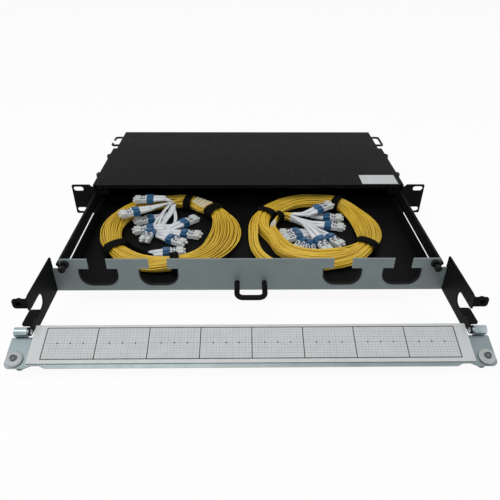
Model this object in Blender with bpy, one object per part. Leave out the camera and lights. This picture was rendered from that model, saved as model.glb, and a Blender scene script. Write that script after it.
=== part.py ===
# Pull-out fibre patch panel for a 19 inch rack, one rack unit high.
# The tray is drawn out and its label door hangs open.
# Millimetres are written as metres. +Z is up, the front looks to -Y.
import bpy
import bmesh
import math
from mathutils import Matrix, Vector

MM = 0.001

# Gaps and sheets
GAP = 0.25 * MM
SHEET = 1.5 * MM

# Rack size
EAR_SPAN = 482.6 * MM
UNIT_HEIGHT = 43.7 * MM
RACK_HOLE_HALF = EAR_SPAN / 2 - 8.8 * MM
RACK_HOLE_PITCH = 31.75 * MM
EAR_SLOT_LENGTH = 13.4 * MM
EAR_SLOT_HEIGHT = 6.6 * MM

# Chassis
CHASSIS_HALF = EAR_SPAN / 2 - 34.3 * MM
CHASSIS_DEPTH = 201.9 * MM
BRACKET_OUTER = CHASSIS_HALF + 5.7 * MM
BRACKET_DEPTH = 131.0 * MM
BRACKET_SCREW_Y = (43.0 * MM, 110.0 * MM)
BRACKET_SCREW_Z = UNIT_HEIGHT - 5.7 * MM
BRACKET_SCREW_D = 4.0 * MM
ENTRY_HOLE_D = 20.0 * MM
ENTRY_HOLE_X = 120.0 * MM
ENTRY_HOLE_Z = 20.0 * MM
RING_FRONT = BRACKET_DEPTH + 21.0 * MM
RING_REAR = RING_FRONT + 37.0 * MM
RING_REACH = CHASSIS_HALF + 15.0 * MM
RING_Z = UNIT_HEIGHT - 4.7 * MM
RING_BAR = 3.0 * MM

# Tray
TRAY_TRAVEL = 170.0 * MM
PANEL_FRONT = -TRAY_TRAVEL - 4.5 * MM
PANEL_HALF = CHASSIS_HALF + 7.0 * MM
PANEL_HEIGHT = UNIT_HEIGHT - 1.7 * MM
PANEL_NOTCH_HALF = CHASSIS_HALF - 1.6 * MM
PANEL_NOTCH_Z = 30.0 * MM
TRAY_HALF = CHASSIS_HALF - 2.6 * MM
TRAY_REAR = CHASSIS_DEPTH - TRAY_TRAVEL - 5.9 * MM
TRAY_WALL_TOP = 22.0 * MM
TRAY_FLOOR = SHEET + 0.3 * MM
RAIL_INNER = CHASSIS_HALF + 1.0 * MM
RAIL_OUTER = RAIL_INNER + 2.8 * MM
RAIL_BOTTOM = 18.0 * MM
RAIL_TOP = 33.8 * MM

# Cable slots in the front panel
SLOT_OUTER_X = CHASSIS_HALF - 41.5 * MM
SLOT_INNER_X = CHASSIS_HALF - 106.8 * MM
SLOT_CENTRES = (-SLOT_OUTER_X, -SLOT_INNER_X, SLOT_INNER_X, SLOT_OUTER_X)
SLOT_NECK = 20.0 * MM
SLOT_WIDTH = 42.6 * MM
SLOT_TOP = PANEL_HEIGHT - 12.6 * MM
SLOT_BOTTOM = 7.0 * MM
EDGING = 1.0 * MM

# Pull handle
HANDLE_HALF = 15.0 * MM
HANDLE_BAR = 6.0 * MM
HANDLE_Z = 11.0 * MM
HANDLE_REACH = 30.0 * MM

# Side arms
ARM_INNER = PANEL_HALF + 0.3 * MM
ARM_TOP = UNIT_HEIGHT - 0.5 * MM
ARM_FLANGE_REACH = ARM_INNER + 18.4 * MM
TAB_REACH = ARM_INNER + 15.0 * MM

# Door
HINGE_Y = PANEL_FRONT - 76.0 * MM
ARM_FRONT = HINGE_Y + 9.0 * MM
HINGE_Z = 9.4 * MM
DOOR_DROOP = math.radians(17.8)
PIN_RADIUS = 2.9 * MM
KNUCKLE_INNER = PIN_RADIUS + 0.3 * MM
KNUCKLE_OUTER = KNUCKLE_INNER + SHEET
KNUCKLE_X = (ARM_INNER + 3.0 * MM, ARM_INNER + 15.5 * MM)
DOOR_HALF = KNUCKLE_X[1] + 2.9 * MM
DOOR_REAR = HINGE_Z - 0.7 * MM
DOOR_FRONT = 36.5 * MM
DOOR_CENTRE_HALF = ARM_INNER - 1.4 * MM
WING_REAR = KNUCKLE_OUTER - 0.4 * MM
NOTCH_CENTRE = DOOR_HALF - 28.9 * MM
LABEL_PANEL_HALF = DOOR_CENTRE_HALF - 0.6 * MM
LABEL_PANEL_FRONT = DOOR_FRONT - 4.1 * MM
LABEL_PANEL_THICK = 1.0 * MM
CARD_HALF = LABEL_PANEL_HALF - 12.3 * MM
CARD_REAR = DOOR_REAR - 3.4 * MM
CARD_FRONT = LABEL_PANEL_FRONT - 3.8 * MM

# Plunger latches
TRAY_LATCH_X = CHASSIS_HALF - 7.5 * MM
TRAY_LATCH_Z = PANEL_HEIGHT - 6.0 * MM
DOOR_LATCH_X = ARM_INNER + 9.5 * MM
DOOR_LATCH_REACH = DOOR_FRONT - 8.9 * MM
TAB_HOLE_Z = HINGE_Z + DOOR_LATCH_REACH
PLUNGER_PIN_D = 3.2 * MM
PLUNGER_BORE_D = PLUNGER_PIN_D + 0.6 * MM
LATCH_BODY_D = 6.4 * MM
LATCH_HOLE_D = LATCH_BODY_D + 0.5 * MM
CATCH_HOLE_D = 5.2 * MM
CATCH_CUP_DEPTH = 3.4 * MM

# Fibre cord coils: centre x, centre y, inner and outer radius
COIL_LEFT = (-102.0 * MM, PANEL_FRONT + 108.5 * MM, 61.0 * MM, 87.0 * MM)
COIL_RIGHT = (84.0 * MM, PANEL_FRONT + 112.5 * MM, 60.0 * MM, 85.0 * MM)
TIE_ANGLES_LEFT = (76, 41, 216, 281)
TIE_ANGLES_RIGHT = (58, 150, 324)
TIE_WIDTH = 14.0 * MM
TIE_THICK = 1.0 * MM
COIL_HEIGHT = 15.0 * MM
COIL_BOTTOM = TRAY_FLOOR + SHEET + 2.0 * GAP + TIE_THICK

# Duplex plugs lying inside and on each coil: the nose from the coil centre,
# the heading of the nose in degrees and the height of the underside
PLUG_HALF = 6.2 * MM
PLUG_HEIGHT = 7.5 * MM
PLUG_NOSE = 17.0 * MM
PLUG_TAIL = 27.0 * MM
ON_TRAY = TRAY_FLOOR + SHEET + GAP
ON_COIL = COIL_BOTTOM + COIL_HEIGHT + 0.3 * MM
PLUGS_LEFT = (
    (-68.0 * MM, 16.6 * MM, 206, ON_COIL),
    (-56.2 * MM, 58.6 * MM, 186, ON_COIL),
    (-31.6 * MM, -22.0 * MM, 256, ON_TRAY),
    (32.8 * MM, 40.3 * MM, 41, ON_TRAY),
    (41.5 * MM, -6.5 * MM, 350, ON_TRAY),
)
PLUGS_RIGHT = (
    (42.7 * MM, 7.4 * MM, 345, ON_TRAY),
    (32.0 * MM, -36.5 * MM, 306, ON_TRAY),
    (-50.0 * MM, -6.0 * MM, 184, ON_TRAY),
    (-10.0 * MM, -56.0 * MM, 267, ON_TRAY),
    (44.5 * MM, 32.0 * MM, 350, ON_TRAY),
)

for old in list(bpy.data.objects):
    bpy.data.objects.remove(old, do_unlink=True)

scene = bpy.context.scene
parts = bpy.data.collections.new("fiber_patch_panel")
scene.collection.children.link(parts)
cutters = bpy.data.collections.new("cutters")
cutters.hide_render = True
scene.collection.children.link(cutters)


# Materials
def material(name, colour, roughness, metallic):
    made = bpy.data.materials.new(name)
    made.use_nodes = True
    shader = made.node_tree.nodes["Principled BSDF"]
    shader.inputs["Base Color"].default_value = (*colour, 1.0)
    shader.inputs["Roughness"].default_value = roughness
    shader.inputs["Metallic"].default_value = metallic
    return made


FINISHES = {
    "black_coat": ((0.02, 0.02, 0.021), 0.55, 0.0),
    "grey_panel": ((0.16, 0.19, 0.19), 0.45, 0.0),
    "zinc": ((0.55, 0.58, 0.58), 0.35, 1.0),
    "bright_steel": ((0.75, 0.76, 0.77), 0.2, 1.0),
    "black_nylon": ((0.015, 0.015, 0.016), 0.45, 0.0),
    "clear_nylon": ((0.78, 0.8, 0.79), 0.35, 0.0),
    "rubber": ((0.02, 0.02, 0.02), 0.8, 0.0),
    "white_card": ((0.8, 0.81, 0.81), 0.5, 0.0),
    "paper": ((0.85, 0.86, 0.87), 0.7, 0.0),
    "yellow_jacket": ((0.8, 0.48, 0.03), 0.45, 0.0),
    "white_plastic": ((0.8, 0.82, 0.84), 0.4, 0.0),
    "fabric": ((0.02, 0.02, 0.02), 0.95, 0.0),
}


def place(obj, group=None, finish=None, parent=None):
    (group or parts).objects.link(obj)
    if finish:
        colour, roughness, metallic = FINISHES[finish]
        obj.data.materials.append(
            material(obj.name + "_" + finish, colour, roughness, metallic)
        )
    if parent:
        obj.parent = parent
    return obj


def mesh_object(name, made):
    bmesh.ops.recalc_face_normals(made, faces=made.faces)
    data = bpy.data.meshes.new(name)
    made.to_mesh(data)
    made.free()
    return bpy.data.objects.new(name, data)


# Outlines
def arc(centre, radius, start, end, steps):
    points = []
    for step in range(steps + 1):
        angle = math.radians(start + (end - start) * step / steps)
        points.append(
            (centre[0] + radius * math.cos(angle), centre[1] + radius * math.sin(angle))
        )
    return points


def rounded(corners, steps=4):
    points = []
    count = len(corners)
    for index, (x, y, radius) in enumerate(corners):
        here = Vector((x, y))
        if radius <= 0:
            points.append((x, y))
            continue
        before = Vector(corners[index - 1][:2]) - here
        after = Vector(corners[(index + 1) % count][:2]) - here
        half = before.angle(after) / 2
        reach = radius / math.tan(half)
        middle = (before.normalized() + after.normalized()).normalized()
        centre = here + middle * (radius / math.sin(half))
        first = here + before.normalized() * reach - centre
        last = here + after.normalized() * reach - centre
        turn = first.angle_signed(last)
        for step in range(steps + 1):
            spot = first.copy()
            spot.rotate(Matrix.Rotation(-turn * step / steps, 2))
            points.append(tuple(centre + spot))
    return points


def rectangle(x0, x1, y0, y1, radius=0.0):
    corners = [(x0, y0, radius), (x1, y0, radius), (x1, y1, radius), (x0, y1, radius)]
    return rounded(corners, 3)


# Solids
def prism(name, outline, low, high, axis="Z"):
    made = bmesh.new()
    rings = []
    for level in (low, high):
        ring = []
        for a, b in outline:
            if axis == "Z":
                spot = (a, b, level)
            elif axis == "Y":
                spot = (a, level, b)
            else:
                spot = (level, a, b)
            ring.append(made.verts.new(spot))
        rings.append(ring)
    made.faces.new(rings[0])
    made.faces.new(rings[1])
    count = len(outline)
    for index in range(count):
        after = (index + 1) % count
        made.faces.new(
            (rings[0][index], rings[0][after], rings[1][after], rings[1][index])
        )
    return mesh_object(name, made)


def box(name, x0, x1, y0, y1, z0, z1):
    return prism(name, [(x0, y0), (x1, y0), (x1, y1), (x0, y1)], z0, z1)


def rod(name, centre, radius, low, high, axis="Z", steps=16):
    return prism(name, arc(centre, radius, 0, 360 - 360 / steps, steps - 1), low, high, axis)


def turned(name, profile, steps, axis="Z"):
    made = bmesh.new()
    count = len(profile)
    rows = []
    for step in range(steps):
        angle = 2 * math.pi * step / steps
        row = []
        for radius, height in profile:
            a = radius * math.cos(angle)
            b = radius * math.sin(angle)
            if axis == "Z":
                spot = (a, b, height)
            elif axis == "Y":
                spot = (a, height, b)
            else:
                spot = (height, a, b)
            row.append(made.verts.new(spot))
        rows.append(row)
    for step in range(steps):
        this = rows[step]
        following = rows[(step + 1) % steps]
        for index in range(count):
            after = (index + 1) % count
            made.faces.new((this[index], this[after], following[after], following[index]))
    return mesh_object(name, made)


def cut(obj, tool, parent=None):
    tool.name = "cut_" + obj.name
    place(tool, cutters, parent=parent)
    tool.hide_render = True
    tool.display_type = "WIRE"
    step = obj.modifiers.new("cut", "BOOLEAN")
    step.operation = "DIFFERENCE"
    step.solver = "EXACT"
    step.object = tool


def add(obj, tool, parent=None):
    tool.name = "add_" + obj.name
    place(tool, cutters, parent=parent)
    tool.hide_render = True
    tool.display_type = "WIRE"
    step = obj.modifiers.new("add", "BOOLEAN")
    step.operation = "UNION"
    step.solver = "EXACT"
    step.object = tool


def bar_along(name, points, radius, parent=None, finish=None):
    curve = bpy.data.curves.new(name + "_path", "CURVE")
    curve.dimensions = "3D"
    curve.bevel_depth = radius
    curve.bevel_resolution = 3
    curve.use_fill_caps = True
    line = curve.splines.new("POLY")
    line.points.add(len(points) - 1)
    for spot, place_at in zip(line.points, points):
        spot.co = (*place_at, 1.0)
    holder = bpy.data.objects.new(name + "_path", curve)
    scene.collection.objects.link(holder)
    graph = bpy.context.evaluated_depsgraph_get()
    data = bpy.data.meshes.new_from_object(holder.evaluated_get(graph))
    bpy.data.objects.remove(holder, do_unlink=True)
    made = bmesh.new()
    made.from_mesh(data)
    bmesh.ops.remove_doubles(made, verts=made.verts, dist=0.00001)
    return place(mesh_object(name, made), finish=finish, parent=parent)


# Chassis: folded floor, side walls and rear wall
inner = CHASSIS_HALF - SHEET
wall_top = UNIT_HEIGHT - SHEET - 2 * GAP
rear_wall = CHASSIS_DEPTH - SHEET - GAP
trough = [
    (-CHASSIS_HALF, 0.0),
    (CHASSIS_HALF, 0.0),
    (CHASSIS_HALF, wall_top),
    (inner, wall_top),
    (inner, SHEET),
    (-inner, SHEET),
    (-inner, wall_top),
    (-CHASSIS_HALF, wall_top),
]
shell = place(prism("chassis_shell", trough, 0.0, rear_wall, "Y"), finish="black_coat")
add(
    shell,
    box("rear", -CHASSIS_HALF + 0.1 * MM, CHASSIS_HALF - 0.1 * MM, rear_wall - SHEET,
        rear_wall - 0.01 * MM, 0.1 * MM, wall_top - 0.1 * MM),
)
for side in (-1, 1):
    cut(
        shell,
        rod("entry", (side * ENTRY_HOLE_X, ENTRY_HOLE_Z), ENTRY_HOLE_D / 2,
            rear_wall - 5 * MM, rear_wall + 5 * MM, "Y", 24),
    )
    for y in BRACKET_SCREW_Y:
        cut(
            shell,
            rod("screw_hole", (y, BRACKET_SCREW_Z), BRACKET_SCREW_D / 2 + 0.3 * MM,
                side * (inner - 3 * MM), side * (CHASSIS_HALF + 3 * MM), "X"),
        )

# Top cover with a front lip that carries the two tray catches
cover_top = UNIT_HEIGHT - GAP
cover_under = cover_top - SHEET
lip_half = inner - GAP
catch_half = 7.0 * MM
lip_bottom = cover_under - 4.0 * MM
catch_bottom = TRAY_LATCH_Z - 6.5 * MM
front_lip = [(-lip_half, cover_under + 0.5 * MM), (-lip_half, catch_bottom)]
front_lip += [(-TRAY_LATCH_X + catch_half, catch_bottom)]
front_lip += [(-TRAY_LATCH_X + catch_half, lip_bottom)]
front_lip += [(TRAY_LATCH_X - catch_half, lip_bottom)]
front_lip += [(TRAY_LATCH_X - catch_half, catch_bottom)]
front_lip += [(lip_half, catch_bottom), (lip_half, cover_under + 0.5 * MM)]
cover = place(
    box("top_cover", -CHASSIS_HALF, CHASSIS_HALF, 0.0, CHASSIS_DEPTH, cover_under, cover_top),
    finish="black_coat",
)
add(cover, prism("lip", front_lip, 0.2 * MM, 0.2 * MM + SHEET, "Y"))
add(
    cover,
    box("rear_lip", -CHASSIS_HALF + 0.1 * MM, CHASSIS_HALF - 0.1 * MM,
        CHASSIS_DEPTH - SHEET, CHASSIS_DEPTH - 0.1 * MM, cover_top - 9.4 * MM,
        cover_under + 0.5 * MM),
)
COVER_SCREW_X = ENTRY_HOLE_X
COVER_SCREW_Z = cover_top - 5.9 * MM
for side in (-1, 1):
    cut(
        cover,
        rod("catch", (side * TRAY_LATCH_X, TRAY_LATCH_Z), CATCH_HOLE_D / 2,
            -2 * MM, 4 * MM, "Y"),
    )
    cut(
        cover,
        rod("cover_screw", (side * COVER_SCREW_X, COVER_SCREW_Z), 1.8 * MM,
            CHASSIS_DEPTH - 3 * MM, CHASSIS_DEPTH + 2 * MM, "Y"),
    )
    cut(
        shell,
        rod("cover_screw", (side * COVER_SCREW_X, COVER_SCREW_Z), 1.8 * MM,
            rear_wall - 4 * MM, rear_wall + 1 * MM, "Y"),
    )


# Round headed screw whose head faces along +Z before it is turned
def screw(name, shank_radius, shank_length, head_radius, head_height, steps=14):
    profile = [
        (0.00001, -shank_length),
        (shank_radius, -shank_length),
        (shank_radius, 0.0),
        (head_radius, 0.0),
        (head_radius, head_height * 0.45),
        (head_radius * 0.62, head_height),
        (0.00001, head_height),
    ]
    return turned(name, profile, steps)


for side, label in ((-1, "left"), (1, "right")):
    fixing = screw("cover_screw_" + label, 1.5 * MM, 5 * MM, 3.0 * MM, 2.0 * MM)
    fixing.location = (side * COVER_SCREW_X, CHASSIS_DEPTH + GAP, COVER_SCREW_Z)
    fixing.rotation_euler = (math.radians(-90), 0, 0)
    place(fixing, finish="black_coat")

    # Rubber grommet in the rear cable entry
    hole = ENTRY_HOLE_D / 2 - GAP
    near = rear_wall - SHEET - GAP
    far = rear_wall + GAP
    rim = [
        (hole - 2.5 * MM, near - 1.5 * MM),
        (hole + 2.0 * MM, near - 1.5 * MM),
        (hole + 2.0 * MM, near),
        (hole, near),
        (hole, far),
        (hole + 2.0 * MM, far),
        (hole + 2.0 * MM, far + 1.5 * MM),
        (hole - 2.5 * MM, far + 1.5 * MM),
    ]
    grommet = turned("rear_grommet_" + label, rim, 24, "Y")
    grommet.location = (side * ENTRY_HOLE_X, 0, ENTRY_HOLE_Z)
    place(grommet, finish="rubber")

# Blank white sticker on the cover
place(
    box("cover_sticker", CHASSIS_HALF - 51 * MM, CHASSIS_HALF - 1.5 * MM, 2.5 * MM,
        30.5 * MM, cover_top + 0.1 * MM, cover_top + 0.3 * MM),
    finish="paper",
)

# Rack ears: each a folded bracket with the ear in front and a slide channel behind
web_inner = CHASSIS_HALF + 0.3 * MM
wall_inner = BRACKET_OUTER - SHEET
bracket_top = cover_top - 0.3 * MM
bracket_bottom = 1.0 * MM


def sided(outline, side):
    return [(side * a, b) for a, b in outline]


for side, label in ((-1, "left"), (1, "right")):
    ear_outline = rounded(
        [
            (side * wall_inner, 0.0, 0.0),
            (side * EAR_SPAN / 2, 0.0, 2 * MM),
            (side * EAR_SPAN / 2, UNIT_HEIGHT, 2 * MM),
            (side * (BRACKET_OUTER + 4.3 * MM), UNIT_HEIGHT, 0.0),
            (side * (BRACKET_OUTER + 1.8 * MM), UNIT_HEIGHT - 3 * MM, 0.0),
            (side * wall_inner, UNIT_HEIGHT - 3 * MM, 0.0),
        ]
    )
    ear = place(prism("rack_ear_" + label, ear_outline, 0.0, SHEET, "Y"), finish="black_coat")
    channel = sided(
        [
            (web_inner, bracket_bottom),
            (BRACKET_OUTER, bracket_bottom),
            (BRACKET_OUTER, bracket_top),
            (web_inner, bracket_top),
            (web_inner, bracket_top - SHEET),
            (wall_inner, bracket_top - SHEET),
            (wall_inner, bracket_bottom + SHEET),
            (web_inner, bracket_bottom + SHEET),
        ],
        side,
    )
    add(ear, prism("channel", channel, SHEET - 0.3 * MM, BRACKET_DEPTH, "Y"))
    for z in (UNIT_HEIGHT / 2 - RACK_HOLE_PITCH / 2, UNIT_HEIGHT / 2 + RACK_HOLE_PITCH / 2):
        centre = side * RACK_HOLE_HALF
        cut(
            ear,
            prism(
                "slot",
                rectangle(centre - EAR_SLOT_LENGTH / 2, centre + EAR_SLOT_LENGTH / 2,
                          z - EAR_SLOT_HEIGHT / 2, z + EAR_SLOT_HEIGHT / 2,
                          EAR_SLOT_HEIGHT / 2 - 0.1 * MM),
                -3 * MM, 5 * MM, "Y",
            ),
        )
    for number, y in enumerate(BRACKET_SCREW_Y, 1):
        cut(
            ear,
            rod("screw_hole", (y, BRACKET_SCREW_Z), BRACKET_SCREW_D / 2 + 0.3 * MM,
                side * (wall_inner - 1 * MM), side * (BRACKET_OUTER + 2 * MM), "X"),
        )
        fixing = screw("ear_screw_%s_%d" % (label, number), BRACKET_SCREW_D / 2,
                       9.5 * MM, 3.6 * MM, 5.2 * MM)
        fixing.location = (side * (BRACKET_OUTER + GAP), y, BRACKET_SCREW_Z)
        fixing.rotation_euler = (0, side * math.radians(90), 0)
        place(fixing, finish="black_coat")

    # Cable ring on the chassis side, behind the bracket
    outer = rounded(
        [
            (side * (CHASSIS_HALF + GAP), RING_FRONT, 0.0),
            (side * RING_REACH, RING_FRONT, 5 * MM),
            (side * RING_REACH, RING_REAR, 5 * MM),
            (side * (CHASSIS_HALF + GAP), RING_REAR, 0.0),
        ]
    )
    ring = place(
        prism("cable_ring_" + label, outer, RING_Z - RING_BAR / 2, RING_Z + RING_BAR / 2),
        finish="black_nylon",
    )
    cut(
        ring,
        prism(
            "loop",
            rounded(
                [
                    (side * (CHASSIS_HALF + 2.6 * MM), RING_FRONT + RING_BAR, 1.5 * MM),
                    (side * (RING_REACH - RING_BAR), RING_FRONT + RING_BAR, 2.5 * MM),
                    (side * (RING_REACH - RING_BAR), RING_REAR - RING_BAR, 2.5 * MM),
                    (side * (CHASSIS_HALF + 2.6 * MM), RING_REAR - RING_BAR, 1.5 * MM),
                ]
            ),
            RING_Z - 4 * MM, RING_Z + 4 * MM,
        ),
    )
    if side < 0:
        cut(
            ring,
            box("mouth", -RING_REACH - 2 * MM, -RING_REACH + RING_BAR + 1.5 * MM,
                RING_FRONT + 10 * MM, RING_FRONT + 24 * MM, RING_Z - 4 * MM, RING_Z + 4 * MM),
        )

# Tray: folded pan that slides on the chassis floor
tray_front = PANEL_FRONT + SHEET + GAP
tray_inner = TRAY_HALF - SHEET
floor_top = TRAY_FLOOR + SHEET
pan = place(
    prism(
        "tray_pan",
        [
            (-TRAY_HALF, TRAY_FLOOR),
            (TRAY_HALF, TRAY_FLOOR),
            (TRAY_HALF, TRAY_WALL_TOP),
            (tray_inner, TRAY_WALL_TOP),
            (tray_inner, floor_top),
            (-tray_inner, floor_top),
            (-tray_inner, TRAY_WALL_TOP),
            (-TRAY_HALF, TRAY_WALL_TOP),
        ],
        tray_front, TRAY_REAR, "Y",
    ),
    finish="black_coat",
)
add(
    pan,
    box("front_lip", -TRAY_HALF + 0.1 * MM, TRAY_HALF - 0.1 * MM, tray_front + 0.01 * MM,
        tray_front + SHEET, TRAY_FLOOR + 0.1 * MM, 6.2 * MM),
)
add(
    pan,
    box("rear_lip", -TRAY_HALF + 0.1 * MM, TRAY_HALF - 0.1 * MM, TRAY_REAR - SHEET,
        TRAY_REAR - 0.01 * MM, TRAY_FLOOR + 0.1 * MM, 12 * MM),
)


# Front panel with four mushroom shaped cable slots
def slot_outline(centre, grow):
    neck = SLOT_NECK / 2 + grow
    half = SLOT_WIDTH / 2 + grow
    top = SLOT_TOP + grow
    bottom = SLOT_BOTTOM - grow
    return rounded(
        [
            (centre + neck, PANEL_HEIGHT + 2 * MM, 0.0),
            (centre - neck, PANEL_HEIGHT + 2 * MM, 0.0),
            (centre - neck, top, 0.0),
            (centre - half, top, 1.0 * MM),
            (centre - half, bottom, 14.0 * MM + grow),
            (centre + half, bottom, 14.0 * MM + grow),
            (centre + half, top, 1.0 * MM),
            (centre + neck, top, 0.0),
        ],
        7,
    )


panel_outline = [
    (-PANEL_HALF, 0.0),
    (PANEL_HALF, 0.0),
    (PANEL_HALF, PANEL_NOTCH_Z),
    (PANEL_NOTCH_HALF, PANEL_NOTCH_Z),
    (PANEL_NOTCH_HALF, PANEL_HEIGHT),
    (-PANEL_NOTCH_HALF, PANEL_HEIGHT),
    (-PANEL_NOTCH_HALF, PANEL_NOTCH_Z),
    (-PANEL_HALF, PANEL_NOTCH_Z),
]
panel = place(
    prism("front_panel", panel_outline, PANEL_FRONT, PANEL_FRONT + SHEET, "Y"),
    finish="grey_panel",
)
for number, centre in enumerate(SLOT_CENTRES, 1):
    cut(
        panel,
        prism("slot", slot_outline(centre, 0.0), PANEL_FRONT - 5 * MM,
              PANEL_FRONT + 5 * MM, "Y"),
    )
    half = SLOT_WIDTH / 2 - GAP
    low = SLOT_BOTTOM + GAP
    high = SLOT_TOP - 2 * MM
    place(
        prism(
            "slot_edging_%d" % number,
            rounded(
                [
                    (centre - half, high, 0.0),
                    (centre - half, low, 14 * MM - GAP),
                    (centre + half, low, 14 * MM - GAP),
                    (centre + half, high, 0.0),
                    (centre + half - EDGING, high, 0.0),
                    (centre + half - EDGING, low + EDGING, 13 * MM - GAP),
                    (centre - half + EDGING, low + EDGING, 13 * MM - GAP),
                    (centre - half + EDGING, high, 0.0),
                ],
                7,
            ),
            PANEL_FRONT - 0.8 * MM, PANEL_FRONT + SHEET + 0.8 * MM, "Y",
        ),
        finish="rubber",
    )
for side in (-1, 1):
    cut(
        panel,
        rod("latch_hole", (side * TRAY_LATCH_X, TRAY_LATCH_Z), LATCH_HOLE_D / 2,
            PANEL_FRONT - 3 * MM, PANEL_FRONT + 5 * MM, "Y"),
    )
    cut(
        panel,
        rod("handle_hole", (side * HANDLE_HALF, HANDLE_Z), 1.9 * MM,
            PANEL_FRONT - 3 * MM, PANEL_FRONT + 5 * MM, "Y"),
    )

# Pull handle: round bar bent to a U, screwed on from behind
handle_end = PANEL_FRONT - GAP
handle_front = PANEL_FRONT - HANDLE_REACH + HANDLE_BAR / 2
bend = 7.0 * MM
path = [(-HANDLE_HALF, handle_end, HANDLE_Z), (-HANDLE_HALF, handle_front + bend, HANDLE_Z)]
for step in range(1, 6):
    angle = math.radians(180 + 15 * step)
    path.append(
        (
            -HANDLE_HALF + bend + bend * math.cos(angle),
            handle_front + bend + bend * math.sin(angle),
            HANDLE_Z,
        )
    )
path.append((-HANDLE_HALF + bend, handle_front, HANDLE_Z))
path += [(-x, y, z) for x, y, z in reversed(path)]
bar = bar_along("pull_handle", path, HANDLE_BAR / 2, finish="black_coat")
for side, label in ((-1, "left"), (1, "right")):
    cut(
        bar,
        rod("thread", (side * HANDLE_HALF, HANDLE_Z), 1.75 * MM, handle_end - 8 * MM,
            handle_end + 2 * MM, "Y"),
    )
    fixing = screw("handle_screw_" + label, 1.5 * MM, 8 * MM, 3.0 * MM, 2.0 * MM)
    fixing.location = (side * HANDLE_HALF, PANEL_FRONT + SHEET + GAP, HANDLE_Z)
    fixing.rotation_euler = (math.radians(-90), 0, 0)
    place(fixing, finish="black_coat")

# Side arms, slide rails, hinge pins and tray latches
arm_rear = PANEL_FRONT + SHEET + GAP + SHEET
arm_outer = ARM_INNER + SHEET
gap_rear = PANEL_FRONT - 35.0 * MM
gap_low = HINGE_Z + 2.1 * MM
gap_high = ARM_TOP - 15.2 * MM
arm_profile = rounded(
    [
        (arm_rear, 0.3 * MM, 1.0 * MM),
        (HINGE_Y + 17.0 * MM, 0.3 * MM, 2.0 * MM),
        (HINGE_Y + 14.0 * MM, HINGE_Z - 4.0 * MM, 1.0 * MM),
        (HINGE_Y - 4.0 * MM, HINGE_Z - 4.0 * MM, 3.9 * MM),
        (HINGE_Y - 4.0 * MM, HINGE_Z + 4.0 * MM, 3.9 * MM),
        (HINGE_Y + 12.5 * MM, HINGE_Z + 4.0 * MM, 2.0 * MM),
        (HINGE_Y + 16.5 * MM, gap_low, 2.0 * MM),
        (gap_rear, gap_low, 8.0 * MM),
        (gap_rear, gap_high, 8.0 * MM),
        (ARM_FRONT, gap_high, 1.5 * MM),
        (ARM_FRONT, ARM_TOP - 0.6 * MM, 0.0),
        (ARM_FRONT + 4.0 * MM, ARM_TOP - 0.6 * MM, 0.0),
        (ARM_FRONT + 7.0 * MM, ARM_TOP, 1.0 * MM),
        (arm_rear, ARM_TOP, 1.5 * MM),
    ],
    5,
)
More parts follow.
